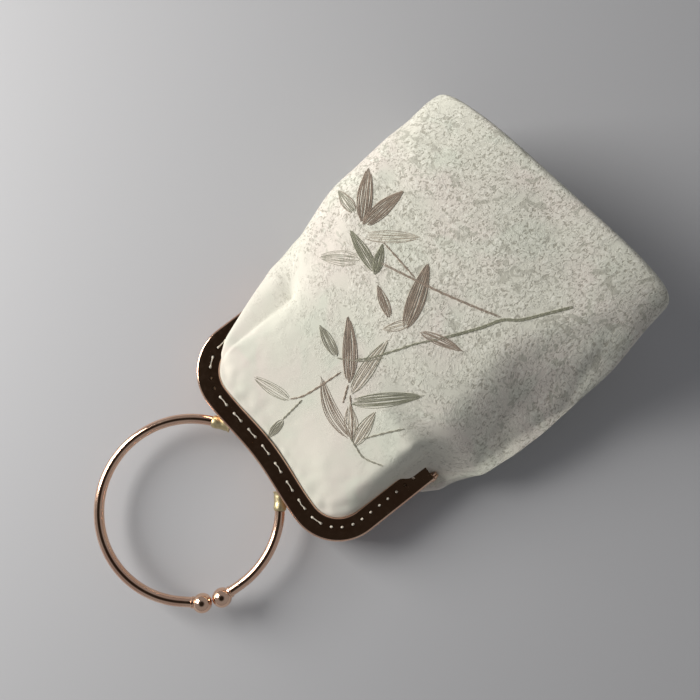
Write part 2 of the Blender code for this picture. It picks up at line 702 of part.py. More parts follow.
def build_gussets(tag, depth, thickness, cloth, end):
    rows = cut_rows(steps(LEG_LENGTH - GUSSET_LEAD, POUCH_LENGTH, 9), end)
    for hand, side in ((-1, "left"), (1, "right")):
        grids = [[[gusset_point(hand, s, turn, level) for turn in steps(-1, 1, 8)] for s in rows]
                 for level in (depth, depth + thickness)]
        make_object(f"{tag}_gusset_{side}", sheet(*grids), cloth, root)


def section_ring(s, inset):
    """The pouch's cross-section at s, drawn in from its outer side by inset."""
    n = roundness(s)
    waist = waist_height(s)
    points = []
    for angle in steps(0, math.tau, 40)[:-1]:
        across = math.copysign(abs(math.cos(angle)) ** (2 / n), math.cos(angle))
        rise = abs(math.sin(angle)) ** (2 / n)
        x = (half_width(across, s) - inset) * across
        if math.sin(angle) >= 0:
            z = mix(waist, top_height(s) - inset, rise)
        else:
            z = max(inset, waist - (waist + BELLY_SINK - inset) * rise)
        points.append(lay(x, s, z))
    return points


def build_plate(name, start, thickness, inset, material):
    """A flat plate across the pouch, parallel to its base."""
    rings = [section_ring(s, inset) for s in (start, start + thickness)]
    make_object(name, skin(rings), material, root)


def stitch_pad(name, line, half_widths, thread):
    """A low satin-stitched pad along a line on the front, with a ridge down its middle."""
    on_flap = max(s for _, s in line) < LEG_LENGTH
    rings = []
    for i, (x, s) in enumerate(line):
        near, far = line[max(i - 1, 0)], line[min(i + 1, len(line) - 1)]
        along = Vector((far[0] - near[0], far[1] - near[1])).normalized()
        across = Vector((-along.y, along.x)) * half_widths[i]
        edges = [(x + hand * across.x, s + hand * across.y) for hand in (-1, 1)]
        left, right = [lay(u, v, front_height(u, v) + PAD_LIFT) for u, v in edges]
        base = lay(x, s, front_height(x, s) + PAD_LIFT)
        ridge = base + Vector((0, 0, PAD))
        rings.append([left, base, right, ridge])
    make_object(name, skin(rings), threads[thread], hinge if on_flap else root)


def from_pattern(across, along):
    """Stretch a place on the pattern to this bag: the legs' part and the rest each keep theirs."""
    x = across * FRAME_WIDTH / PATTERN_WIDTH
    if along <= PATTERN_LEG:
        return x, along * LEG_LENGTH / PATTERN_LEG
    share = (along - PATTERN_LEG) / (PATTERN_LENGTH - PATTERN_LEG)
    return x, mix(LEG_LENGTH, POUCH_LENGTH, share)


def build_embroidery():
    """A bamboo sprig: leaves that taper to their tips, and thin twigs."""
    for name, tip, base, width, thread in LEAVES:
        stations = steps(0, 1, 6)
        line = [from_pattern(mix(base[0], tip[0], t), mix(base[1], tip[1], t)) for t in stations]
        full = width * FRAME_WIDTH / PATTERN_WIDTH - LEAF_TIP_WIDTH
        half = [(LEAF_TIP_WIDTH + full * math.sin(math.pi * t ** 0.7)) / 2 for t in stations]
        stitch_pad(name, line, half, thread)
    for name, points, thread in TWIGS:
        line = []
        for near, far in zip(points[:-1], points[1:]):
            halfway = ((near[0] + far[0]) / 2, (near[1] + far[1]) / 2)
            line += [from_pattern(*near), from_pattern(*halfway)]
        line.append(from_pattern(*points[-1]))
        stitch_pad(name, line, [TWIG_WIDTH / 2] * len(line), thread)


def centre_on_origin():
    """Move the whole bag so that its bounding box stands centred on the origin."""
    bpy.context.view_layer.update()
    graph = bpy.context.evaluated_depsgraph_get()
    xs, ys = [], []
    for obj in bpy.data.objects:
        if obj.type in {"MESH", "CURVE"} and not obj.hide_render:
            shown = obj.evaluated_get(graph)
            mesh = shown.to_mesh()
            for vertex in mesh.vertices:
                place = shown.matrix_world @ vertex.co
                xs.append(place.x)
                ys.append(place.y)
            shown.to_mesh_clear()
    root.location = (-(min(xs) + max(xs)) / 2, -(min(ys) + max(ys)) / 2, 0)


def build_pouch():
    wall = CLOTH + CLEARANCE + LINING
    end = POUCH_LENGTH - CLOTH - CLEARANCE
    build_layer("cloth", 0, CLOTH, cream_cloth, end)
    build_gussets("cloth", 0, CLOTH, cream_cloth, end)
    build_plate("cloth_base", POUCH_LENGTH - CLOTH, CLOTH, 0, cream_cloth)
    board_start = POUCH_LENGTH - CLOTH - CLEARANCE - BOARD
    build_plate("base_board", board_start, BOARD, wall + BOARD_MARGIN, board_material)
    lining_end = board_start - 2 * CLEARANCE - LINING
    build_layer("lining", CLOTH + CLEARANCE, LINING, lining_cloth, lining_end)
    build_gussets("lining", CLOTH + CLEARANCE, LINING, lining_cloth, lining_end)
    lining_base_start = board_start - CLEARANCE - LINING
    build_plate("lining_base", lining_base_start, LINING, CLOTH + 2 * CLEARANCE, lining_cloth)


for existing in list(bpy.data.objects):
    bpy.data.objects.remove(existing, do_unlink=True)

rose_metal = make_material("rose_metal", (0.83, 0.62, 0.50), 0.12, 1.0)
solder = make_material("solder", (0.80, 0.70, 0.45), 0.3, 1.0)
cream_cloth = make_material("cream_cloth", (0.80, 0.77, 0.69), 0.85)
lining_cloth = make_material("lining_cloth", (0.83, 0.80, 0.72), 0.6)
thread_material = make_material("thread", (0.82, 0.78, 0.68), 0.8)
board_material = make_material("board", (0.55, 0.50, 0.42), 0.9)
threads = {name: make_material(f"thread_{name}", colour, 0.6) for name, colour in THREADS.items()}
guide_material = make_material("guide", (0.5, 0.5, 0.5), 0.5)

root = make_empty("bag", (0, 0, 0))
hinge = make_empty("clasp_hinge", (0, LEG_LENGTH, CLASP_HEIGHT), root)

build_front_frame()
build_back_frame()
build_rivets()
build_thread("front_thread", 1, hinge)
build_thread("back_thread", -1, root)
build_handle()
build_pouch()
build_embroidery()
centre_on_origin()
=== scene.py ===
# %% [markdown]
# # A small cloth evening bag
#
# The bag lies on its back: a pouch of cream figured cloth with a bamboo sprig embroidered on its
# front, sewn into a hinged rose gold clasp frame. A ring handle is split between the two halves of
# the frame, and two balls at its ends snap past each other.
#
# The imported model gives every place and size. This script dresses it: finer metal, real stitches,
# soft cloth, and a material with its own grain for every surface.

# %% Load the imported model
import json
import math
import random

import bmesh
import bpy
import numpy as np
from mathutils import Matrix, Vector, noise
from mathutils.bvhtree import BVHTree


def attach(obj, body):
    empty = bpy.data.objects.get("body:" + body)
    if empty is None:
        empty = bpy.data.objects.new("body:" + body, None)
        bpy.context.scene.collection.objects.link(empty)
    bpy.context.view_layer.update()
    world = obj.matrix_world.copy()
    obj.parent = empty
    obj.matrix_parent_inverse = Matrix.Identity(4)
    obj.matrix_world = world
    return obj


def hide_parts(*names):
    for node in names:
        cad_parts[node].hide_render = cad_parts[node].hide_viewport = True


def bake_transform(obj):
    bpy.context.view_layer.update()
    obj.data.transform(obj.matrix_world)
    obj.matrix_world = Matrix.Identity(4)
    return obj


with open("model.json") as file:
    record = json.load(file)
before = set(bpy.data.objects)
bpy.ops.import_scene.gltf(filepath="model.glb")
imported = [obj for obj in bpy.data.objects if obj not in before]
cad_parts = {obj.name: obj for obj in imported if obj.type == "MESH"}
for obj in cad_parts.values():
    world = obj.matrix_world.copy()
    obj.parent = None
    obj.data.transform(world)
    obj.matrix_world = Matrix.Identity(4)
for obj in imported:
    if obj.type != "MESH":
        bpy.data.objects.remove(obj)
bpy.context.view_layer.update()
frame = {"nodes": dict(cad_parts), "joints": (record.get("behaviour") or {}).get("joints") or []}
hinge = frame["joints"][0]

# %% [markdown]
# ## Where things are
#
# The bag was drawn with its zero at the middle of the frame's bar, the handle toward -Y and the
# base toward +Y, and was then moved so that it stands centred. The hinge tells how far: it lies one
# leg's length behind the bar. Sizes that several pieces share are named here once.

# %% Shared sizes
LEG = 0.066
CLASP_HEIGHT = 0.014
MOVE = Vector(hinge["pos_m"]) - Vector((0, LEG, CLASP_HEIGHT))
GAP = 0.0003
FRAME_HALF = 0.0625
CORNER = 0.026
FACE = 0.0114
HALF_DEPTH = 0.006
print("moved by", [round(v, 4) for v in MOVE])

# %% [markdown]
# ## The camera
#
# The photo looks down on the table from about 40 cm, turned so that the bag runs from the lower
# left to the upper right. The place and turn below were found by fitting the ring, the frame's
# outline and the base's corners to where they are seen. The focal length is in pixels of a frame
# 700 wide, and Blender wants it in millimetres of a 36 mm sensor.

# %% Camera
PHOTO_SIZE = 700
FOCAL_PIXELS = 780.5
camera_data = bpy.data.cameras.new("camera")
camera_data.sensor_width = 36
camera_data.lens = FOCAL_PIXELS / PHOTO_SIZE * camera_data.sensor_width
camera_data.clip_start = 0.01
camera = bpy.data.objects.new("camera", camera_data)
bpy.context.scene.collection.objects.link(camera)
turn = (Matrix.Rotation(0.9149, 4, "Z") @ Matrix.Rotation(0.1124, 4, "X")
        @ Matrix.Rotation(-0.0244, 4, "Y"))
camera.matrix_world = Matrix.Translation(MOVE + Vector((0.0151, 0.0379, 0.4079))) @ turn
bpy.context.scene.camera = camera
print("lens", round(camera_data.lens, 2), "mm")

# %% [markdown]
# ## Writing shader maths
#
# A material's pattern is a sum of many small terms. Written with nodes one by one it can't be read,
# so a socket is wrapped in a small class on which `+`, `*` and the others add the Math node. All
# other nodes come from one method, `add`: the kind of node, its settings, and what goes into its
# sockets. Colours are mixed by `blend`, because a Math node would turn them grey.

# %% A wrapper for sockets
class Tap:
    """An output socket of a node tree, or the tree alone, on which formulas can be written."""

    def __init__(self, tree, socket=None):
        self.tree = tree
        self.socket = socket

    def add(self, kind, settings=None, sockets=None, out=0):
        node = self.tree.nodes.new(kind)
        for name, value in (settings or {}).items():
            setattr(node, name, value)
        for name, value in (sockets or {}).items():
            if isinstance(value, Tap):
                self.tree.links.new(value.socket, node.inputs[name])
            else:
                node.inputs[name].default_value = value
        return Tap(self.tree, node.outputs[out])

    def maths(self, operation, *values):
        return self.add("ShaderNodeMath", {"operation": operation}, dict(enumerate(values)))

    def __add__(self, other):
        return self.maths("ADD", self, other)

    def __sub__(self, other):
        return self.maths("SUBTRACT", self, other)

    def __rsub__(self, other):
        return self.maths("SUBTRACT", other, self)

    def __mul__(self, other):
        return self.maths("MULTIPLY", self, other)

    __radd__ = __add__
    __rmul__ = __mul__

    def between(self, low, high):
        """0 below low, 1 above high and an even ramp from one to the other."""
        sockets = {"Value": self, "From Min": low, "From Max": high}
        return self.add("ShaderNodeMapRange", {"clamp": True}, sockets)

    def blend(self, first, second):
        """The first colour where this is 0, the second where it is 1."""
        colours = [c if isinstance(c, Tap) else (*c, 1) for c in (first, second)]
        sockets = {0: self, 6: colours[0], 7: colours[1]}
        return self.add("ShaderNodeMix", {"data_type": "RGBA"}, sockets, 2)

    def part(self, axis):
        """One of the three numbers of a vector."""
        return self.add("ShaderNodeSeparateXYZ", None, {0: self}, "XYZ".index(axis))


def start_material(name, **constants):
    """A new material: its name, a Tap on its empty tree and its main shader with fixed values set."""
    material = bpy.data.materials.new(name)
    material.use_nodes = True
    shader = material.node_tree.nodes["Principled BSDF"]
    for socket, value in constants.items():
        shader.inputs[socket.replace("_", " ")].default_value = value
    return material, Tap(material.node_tree), shader


def drive(shader, **taps):
    """Link finished taps to the main shader's sockets."""
    for socket, tap in taps.items():
        tap.tree.links.new(tap.socket, shader.inputs[socket.replace("_", " ")])


# %% [markdown]
# ## Rose gold
#
# The frame, ring and balls are plated with a thin copper-rich gold over polished brass. Such metal
# has almost no colour of its own beyond its tint: it shows the room. What makes it look real is
# that the plating is never quite even. Broad soft waves bend the reflections, fine haze from
# handling varies the roughness, and the tint drifts a little between pink and yellow.

# %% Rose gold material
def make_rose_gold(name, waviness):
    material, ink, shader = start_material(name, Metallic=1.0)
    place = ink.add("ShaderNodeTexCoord", out="Object")
    broad = ink.add("ShaderNodeTexNoise", None, {"Vector": place, "Scale": 60.0, "Detail": 2.0})
    haze = ink.add("ShaderNodeTexNoise", None, {"Vector": place, "Scale": 420.0, "Detail": 5.0})
    tint = broad.between(0.35, 0.65)
    colour = tint.blend((0.80, 0.50, 0.36), (0.87, 0.60, 0.44))
    roughness = 0.09 + 0.09 * haze.between(0.4, 0.75)
    bump = ink.add("ShaderNodeBump", None, {"Height": broad, "Strength": waviness, "Distance": 0.0006})
    drive(shader, Base_Color=colour, Roughness=roughness, Normal=bump)
    return material


rose_gold = make_rose_gold("rose_gold", 0.25)
print("made", rose_gold.name)

# %% [markdown]
# ## Floor and light
#
# The table is a pale, matt, slightly violet grey. A large soft lamp at the upper left gives the
# long gentle shadow to the lower right, and the light room fills the rest. The metal needs something
# to reflect: the room is pale at its sides and dark overhead, where the person who looks down
# stands. That is what turns the flat face of the frame brown and leaves its rolled rim bright.

# %% Floor, lamps and world
floor_mesh = bpy.data.meshes.new("floor")
floor_mesh.from_pydata([(-3, -3, 0), (3, -3, 0), (3, 3, 0), (-3, 3, 0)], [], [(0, 1, 2, 3)])
floor = bpy.data.objects.new("floor", floor_mesh)
bpy.context.scene.collection.objects.link(floor)
floor_material, ink, shader = start_material("floor", Roughness=0.75, Specular_IOR_Level=0.3)
shader.inputs["Base Color"].default_value = (0.53, 0.53, 0.54, 1)
floor_mesh.materials.append(floor_material)


def add_lamp(name, place, target, width, height, watts, colour):
    data = bpy.data.lights.new(name, "AREA")
    data.shape = "RECTANGLE"
    data.size = width
    data.size_y = height
    data.energy = watts
    data.color = colour
    lamp = bpy.data.objects.new(name, data)
    bpy.context.scene.collection.objects.link(lamp)
    lamp.location = place
    lamp.rotation_euler = (Vector(target) - Vector(place)).to_track_quat("-Z", "Y").to_euler()
    return lamp


add_lamp("window", (-0.64, -0.43, 0.45), (0, 0.01, 0), 0.50, 0.50, 9.3, (1.0, 0.985, 0.96))
add_lamp("white card", (-0.75, -0.62, 0.10), (0, 0, 0.02), 0.55, 0.16, 0.45, (1.0, 1.0, 1.0))
world = bpy.data.worlds.new("room")
bpy.context.scene.world = world
world.use_nodes = True
air = Tap(world.node_tree)
height = air.add("ShaderNodeTexCoord", out="Generated").part("Z")
overhead = height.between(0.78, 0.93)
sky = overhead.blend((0.62, 0.63, 0.66), (0.045, 0.038, 0.03))
background = world.node_tree.nodes["Background"]
world.node_tree.links.new(sky.socket, background.inputs["Color"])
background.inputs["Strength"].default_value = 0.44
bpy.context.scene.view_settings.view_transform = "Standard"
print("stage set")

# %% [markdown]
# ## The pouch's form
#
# The pouch is a flat-bottomed bag of soft cloth, full at the base and gathered into the frame at
# its mouth. It lies on its back, so its cross-section is a slack superellipse: nearly round at the
# hinges, nearly a rectangle at the base, and cut flat where it touches the table. It also leans
# over to the left and its base is turned a little against the frame.
#
# Everything below works in the bag's own frame: `x` across, `s` along from the bar, `z` up. Only
# `lay` turns that into a place in the world.

# %% Cross-sections of the pouch
POUCH = 0.190
FOLD = 0.020
BASE_TALL = 0.073
SEAM = FRAME_HALF + 0.002
SEAT_RISE = 0.0034
SEAT = CLASP_HEIGHT + SEAT_RISE
SEWN_INSET = 0.0038
TABLE_SINK = 0.0015
LEAN = 0.012
BASE_TURN = math.radians(9)


def ease(t):
    t = min(max(t, 0.0), 1.0)
    return t * t * (3 - 2 * t)


def mix(a, b, t):
    return a + (b - a) * t


def along(s):
    return min(max((s - LEG) / (POUCH - LEG), 0.0), 1.0)


def half_width(x, s):
    bulge = 0.0005 if x < 0 else 0.0105
    return FRAME_HALF + mix(0.0095, 0.011, along(s)) + bulge * math.sin(math.pi * along(s))


def top_height(s):
    t = min(max((s - FACE) / (POUCH - FACE), 0.0), 1.0)
    return mix(0.0176, BASE_TALL, t) + 0.003 * math.sin(math.pi * t)


def waist_height(s):
    return mix(CLASP_HEIGHT + 0.002, BASE_TALL / 2, along(s))


def roundness(s):
    return mix(2.2, 4.5, ease(along(s)))


def lay(x, s, z):
    """A point of the straight pouch, on the bag as it lies in the world."""
    if s <= LEG:
        return MOVE + Vector((x, s, z))
    x -= LEAN * math.sin(math.pi * along(s)) * z / BASE_TALL
    swing = BASE_TURN * (s - LEG) / (POUCH - LEG)
    radius = (POUCH - LEG) / BASE_TURN
    across = Vector((math.cos(swing), math.sin(swing), 0))
    middle = Vector((-radius * (1 - math.cos(swing)), LEG + radius * math.sin(swing), z))
    return MOVE + middle + across * x


print("half widths at the base", [round(half_width(x, POUCH), 4) for x in (-1, 1)])

# %% [markdown]
# ## How the cloth leaves the frame
#
# The cloth's edge is sewn inside the channel, under the pierced face. From there it comes out at
# the face's inner edge and rises at once, because the bag is full. On the left the cloth is so
# full that it folds over the leg like a muffin over its tin, more and more toward the hinge, and
# hides the leg's end. That fold is drawn as an S in each cross-section: out of the channel, over
# the leg, and back.

# %% Cloth between the legs
def bar_bow(x):
    straight = FRAME_HALF - CORNER
    return 0.0 if abs(x) >= straight else 0.0022 * (0.5 + 0.5 * math.cos(math.pi * x / straight))


def inside_edge(x, y):
    """How far a point lies inside the pierced face's inner edge. Below zero it is under the face."""
    across = abs(x) - (FRAME_HALF - CORNER)
    down = CORNER - (y - bar_bow(x))
    if across > 0 and down > 0:
        return CORNER - math.hypot(across, down) - FACE
    return CORNER - max(across, down) - FACE


def sewn_half(y):
    """Half the width of the cloth where it is sewn into the channel."""
    if y >= CORNER:
        return FRAME_HALF - SEWN_INSET
    radius = CORNER - SEWN_INSET
    return FRAME_HALF - CORNER + math.sqrt(max(radius ** 2 - min(CORNER - y, radius) ** 2, 0))


def held_height(x, y):
    """Height of the cloth between the legs: level under the face, then rising steeply."""
    clear = inside_edge(x, y) + 0.0008
    if clear <= 0:
        return SEAT
    puff = 0.0020 * (1 - math.exp(-clear / 0.0011))
    reach = mix(0.031, 0.0120, ease(abs(x) / (FRAME_HALF - CORNER)))
    rise = math.sin(math.pi / 2 * min(clear / reach, 1.0))
    return SEAT + puff + (top_height(y) - SEAT) * rise


def spill(side, y):
    """How far the cloth folds over the leg."""
    if side > 0:
        return 0.0
    return 0.0205 * min(max((y - 0.016) / 0.050, 0.0), 1.0) ** 0.95


def lobe(y):
    """How far the side bulges out past the right leg's end, under it."""
    return 0.013 * ease((y - 0.050) / 0.030)


def crossing(y):
    """Half the distance between the lines where the cloth comes out beside the legs."""
    deep = max(CORNER - max(y, 0.0125), 0.0)
    radius = CORNER - FACE
    edge = FRAME_HALF - CORNER + math.sqrt(max(radius ** 2 - deep ** 2, 0.0))
    return mix(sewn_half(y) - 0.002, edge - 0.001, ease((y - 0.0038) / 0.009))


def held_side(side, y, count):
    """Cross-section beside one leg, from the sewn edge to the line where the cloth comes out."""
    out, sewn = crossing(y), sewn_half(y)
    fold = spill(side, y)
    flat = [(mix(sewn, out, k / count), held_height(side * mix(sewn, out, k / count), y))
            for k in range(count + 1)]
    if side > 0 and lobe(y) > 0:
        past, edge = lobe(y), FRAME_HALF
        under = [(0.0575, 0.0072), (edge + 0.3 * past, 0.0052), (edge + 0.85 * past, 0.0068),
                 (edge + past, 0.0100), (edge + 0.8 * past, 0.0128), (edge + 0.0002, 0.0140),
                 (0.0600, 0.0141), (sewn, SEAT - 0.001), (sewn - 0.001, SEAT), flat[-1]]
        amount = ease(past / 0.0015)
        return [(mix(a[0], b[0], amount), mix(a[1], b[1], amount))
                for a, b in zip(flat, spread(under, count))]
    if fold <= 0:
        return [(side * x, z) for x, z in flat]
    amount = ease(fold / 0.005)
    edge = out + 0.001
    high = held_height(side * out, y) + 0.0045 * amount
    droop = 0.004 * ease((fold - 0.012) / 0.009)
    over = [(sewn, SEAT), (edge + 0.001, SEAT), (edge - 0.0006, 0.0186), (edge + 0.5 * fold, 0.0209),
            (edge + 0.94 * fold, 0.0210 - droop), (edge + fold, 0.0224 - droop),
            (edge + 0.93 * fold, 0.0238 - 0.8 * droop), (edge + 0.6 * fold, mix(0.0245, high, 0.5)),
            (out, high)]
    folded = spread(over, count)
    return [(side * mix(a[0], b[0], amount), mix(a[1], b[1], amount)) for a, b in zip(flat, folded)]


def spread(line, count):
    """count + 1 points evenly spaced along a smooth line through the given points."""
    path = []
    for k in range(len(line) - 1):
        before, a, b = line[max(k - 1, 0)], line[k], line[k + 1]
        after = line[min(k + 2, len(line) - 1)]
        for i in range(6):
            t = i / 6
            path.append([0.5 * (2 * a[n] + (b[n] - before[n]) * t
                                + (2 * before[n] - 5 * a[n] + 4 * b[n] - after[n]) * t ** 2
                                + (3 * a[n] - before[n] - 3 * b[n] + after[n]) * t ** 3)
                         for n in range(len(a))])
    path.append(list(line[-1]))
    path = np.array(path)
    far = np.r_[0, np.cumsum(np.linalg.norm(np.diff(path, axis=0), axis=1))]
    where = np.linspace(0, far[-1], count + 1)
    return np.stack([np.interp(where, far, path[:, n]) for n in range(path.shape[1])], 1).tolist()


print("cloth folds over the left leg by", [round(spill(-1, y / 1000) * 1000, 1) for y in (20, 40, 60)])

# %% [markdown]
# ## One sheet for the front and sides
#
# The front, both gussets and the cloth between the legs are one grid of points: its columns run
# from the left gusset's lower seam over the front to the right one's, and its rows from the bar to
# the base. Rows between the legs follow the frame, rows below the hinge follow the superellipse,
# and those in between are a mixture. The last rows turn round the edge of the base.
#
# On the right the stuffing is slack. The front stays level as far as a ridge and falls from there
# in one flat slope to the side, which lies in shade. Toward the base the ridge runs out into the
# corner. The grid is relaxed at the end, so that the fold over the left leg runs out softly.

# %% The front grid
SIDE_COLUMNS = 26
FRONT_COLUMNS = 66
EDGE_ROUND = 0.0035
SLACK_SLOPE = 0.88
SETTLE_ROUNDS = 160


def slacken(x, s, z):
    """Lower a point of the right side to the slope that falls from the ridge."""
    ridge = 0.0445 + 0.0295 * max((s - 0.122) / 0.068, 0.0) ** 1.2
    slope = top_height(s) - SLACK_SLOPE * (x - ridge)
    near = 0.006
    round_off = max(near - abs(z - slope), 0.0) / near
    lowered = min(z, slope) - round_off ** 2 * near / 4
    return mix(z, lowered, ease((s - 0.060) / 0.02) * ease((POUCH - s) / 0.03))


def free_side(side, s, count):
    """Cross-section of a gusset, from its lower seam to its upper one."""
    n, waist = roundness(s), waist_height(s)
    wide = half_width(side, s)
    edge = math.acos((min(SEAM / wide, 0.995)) ** (n / 2))
    points = []
    for k in range(count + 1):
        angle = mix(-edge, edge, k / count)
        rise = abs(math.sin(angle)) ** (2 / n)
        if angle >= 0:
            z = mix(waist, top_height(s), rise)
        else:
            z = waist - (waist + TABLE_SINK) * rise
        x = wide * math.cos(angle) ** (2 / n)
        if side > 0 and angle > 0:
            z = max(slacken(x, s, z), waist)
        points.append((side * x, max(z, 0.0)))
    return points


def free_front(s, x):
    n = roundness(s)
    share = min(abs(x) / half_width(x, s), 1.0)
    z = mix(waist_height(s), top_height(s), (1 - share ** n) ** (1 / n))
    return slacken(x, s, z) if x > 0 else z


BACK_COLUMNS = 56


def back_width(s):
    clear = LEG + 0.004
    return mix(sewn_half(s), SEAM, ease((s - clear) / (LEG + FOLD - clear)))


def back_section(s):
    """The (x, z) points of one row of the back, from left to right."""
    points = []
    n, waist = roundness(s), waist_height(s)
    for k in range(BACK_COLUMNS + 1):
        t = mix(-1, 1, k / BACK_COLUMNS)
        x = back_width(s) * (0.5 * t + 0.5 * math.sin(math.pi / 2 * t))
        share = min(abs(x) / half_width(x, s), 1.0)
        body = max(0.0, waist - (waist + TABLE_SINK) * (1 - share ** n) ** (1 / n))
        if s < LEG + FOLD:
            sag = ease((inside_edge(x, min(s, LEG)) - 0.001) / 0.012)
            held = (CLASP_HEIGHT - SEAT_RISE) * (1 - sag)
            body = mix(held, body, ease((s - LEG) / FOLD))
        points.append((x, body))
    return points


def close_sides(row, s):
    """Past the hinge, draw both lower edges of a row to the edges of the back, where they are sewn."""
    reach = 12
    amount = ease((s - LEG - 0.0036) / 0.004)
    back = back_section(s)
    for first, way, edge in ((0, 1, back[0]), (len(row) - 1, -1, back[-1])):
        off = [edge[0] - row[first][0], edge[1] - row[first][1]]
        for k in range(reach):
            pull = amount * (1 - k / reach) ** 2
            x, z = row[first + way * k]
            row[first + way * k] = (x + off[0] * pull, z + off[1] * pull)
    return row


def cross_section(s):
    """The (x, z) points of one row, from the left gusset's lower seam to the right one's."""
    y = min(s, LEG)
    shares = [math.sin(math.pi / 2 * mix(-1, 1, k / FRONT_COLUMNS)) * 0.5
              + mix(-1, 1, k / FRONT_COLUMNS) * 0.5 for k in range(1, FRONT_COLUMNS)]
    left, right = held_side(-1, y, SIDE_COLUMNS), held_side(1, y, SIDE_COLUMNS)
    lift = left[-1][1] - held_height(-crossing(y), y)
    held = left
    for share in shares:
        x = share * crossing(y)
        sink = lift * (1 - ease((x + crossing(y)) / 0.014))
        held.append((x, held_height(x, y) + sink))
    held += right[::-1]
    if s <= LEG:
        return held
    free = free_side(-1, s, SIDE_COLUMNS)
    free += [(share * SEAM, free_front(s, share * SEAM)) for share in shares]
    free += free_side(1, s, SIDE_COLUMNS)[::-1]
    amount = ease((s - LEG) / FOLD)
    row = [(mix(a[0], b[0], amount), mix(a[1], b[1], amount)) for a, b in zip(held, free)]
    return close_sides(row, s)


def grid_object(name, rows, flip=False):
    """A mesh from rows of points, with its own measured map: across and along, in metres."""
    mesh = bpy.data.meshes.new(name)
    tall, wide = len(rows), len(rows[0])
    faces = []
    for r in range(tall - 1):
        for c in range(wide - 1):
            a = r * wide + c
            face = (a, a + 1, a + wide + 1, a + wide)
            faces.append(face[::-1] if flip else face)
    mesh.from_pydata([p for row in rows for p in row], [], faces)
    points = np.array([p for row in rows for p in row]).reshape(tall, wide, 3)
    span = np.linalg.norm(np.diff(points, axis=1), axis=2).mean(0)
    across = np.r_[0, np.cumsum(span)]
    step = np.linalg.norm(np.diff(points, axis=0), axis=2).mean(1)
    down = np.r_[0, np.cumsum(step)]
    layer = mesh.uv_layers.new(name="weave")
    index = np.zeros(len(mesh.loops), int)
    mesh.loops.foreach_get("vertex_index", index)
    uv = np.stack([across[index % wide] - across[-1] / 2, down[index // wide]], 1)
    layer.data.foreach_set("uv", uv.astype(np.float32).ravel())
    obj = bpy.data.objects.new(name, mesh)
    bpy.context.scene.collection.objects.link(obj)
    for polygon in mesh.polygons:
        polygon.use_smooth = True
    return obj


def row_places():
    """Places of the rows, closer together where the cloth comes out under the bar."""
    near = [mix(0.0040, 0.0180, k / 16) for k in range(16)]
    return near + [mix(0.0180, POUCH - EDGE_ROUND, k / 82) for k in range(83)]


def turned_rows(section, count=6):
    """The rows that turn round the edge of the base, each a little smaller than the last."""
    rows = []
    last = section(POUCH)
    middle_x = (min(p[0] for p in last) + max(p[0] for p in last)) / 2
    middle_z = BASE_TALL / 2
    for k in range(1, count + 1):
        angle = math.pi / 2 * k / count
        inset = EDGE_ROUND * (1 - math.cos(angle))
        s = POUCH - EDGE_ROUND * (1 - math.sin(angle))
        row = []
        for x, z in section(min(s, POUCH)):
            away = Vector((x - middle_x, z - middle_z))
            size = max(abs(away.x) / FRAME_HALF, abs(away.y) / middle_z)
            inner = away * (1 - inset / (size * middle_z))
            row.append(lay(middle_x + inner.x, s, middle_z + inner.y))
        rows.append(row)
    return rows


def relax(rows, rounds):
    """Let the folds settle: each free point moves toward the middle of its four neighbours."""
    grid = np.array([[tuple(p - MOVE) for p in row] for row in rows])
    inside = np.vectorize(inside_edge)(grid[:, :, 0], grid[:, :, 1])
    free = np.clip((inside - 0.002) / 0.010, 0, 1)
    free[grid[:, :, 1] > LEG] = 1
    x, s, z = grid[:, :, 0], grid[:, :, 1], grid[:, :, 2]
    free *= np.clip((z - 0.020) / 0.010, 0, 1) * np.clip((0.150 - s) / 0.05, 0, 1)
    free *= np.clip((x + 0.068) / 0.008, 0, 1) * np.clip((0.020 - x) / 0.03, 0, 1)
    free[[0, -1]] = free[:, [0, -1]] = 0
    for _ in range(rounds):
        near = (np.roll(grid, 1, 0) + np.roll(grid, -1, 0) + np.roll(grid, 1, 1) + np.roll(grid, -1, 1)) / 4
        grid += (near - grid) * free[:, :, None]
    return [[MOVE + Vector(p) for p in row] for row in grid.tolist()]


front_rows = []
for s in row_places():
    row = [lay(x, s + bar_bow(x) * (1 - ease(s / CORNER)), z) for x, z in cross_section(s)]
    front_rows.append(row)
front_rows += turned_rows(cross_section)
front_rows = relax(front_rows, SETTLE_ROUNDS)
print("front grid", len(front_rows), "rows of", len(front_rows[0]))

# %% [markdown]
# ## The back and the base
#
# The back lies on the table, flat over most of its width, and is sewn into the lower channel. The
# base is a flat panel over a stiff board. Its outline is the last row of the front and the back
# together, and rings of points shrink from there to its middle.

# %% The back grid and the base
back_rows = []
for s in row_places():
    row = [lay(x, s + bar_bow(x) * (1 - ease(s / CORNER)), z) for x, z in back_section(s)]
    back_rows.append(row)
back_rows += turned_rows(back_section)

rim = front_rows[-1] + back_rows[-1][-2:0:-1]
middle = sum(rim, Vector()) / len(rim)
base_points, base_faces = list(rim), []
RINGS = 14
for ring in range(1, RINGS):
    base_points += [p.lerp(middle, ring / RINGS) for p in rim]
count = len(rim)
for ring in range(RINGS - 1):
    for k in range(count):
        j = (k + 1) % count
        a = ring * count
        base_faces.append((a + k, a + j, a + count + j, a + count + k))
base_points.append(middle)
for k in range(count):
    last = (RINGS - 1) * count
    base_faces.append((last + k, last + (k + 1) % count, len(base_points) - 1))
print("back grid", len(back_rows), "rows of", len(back_rows[0]), "and a base of", len(base_faces), "faces")

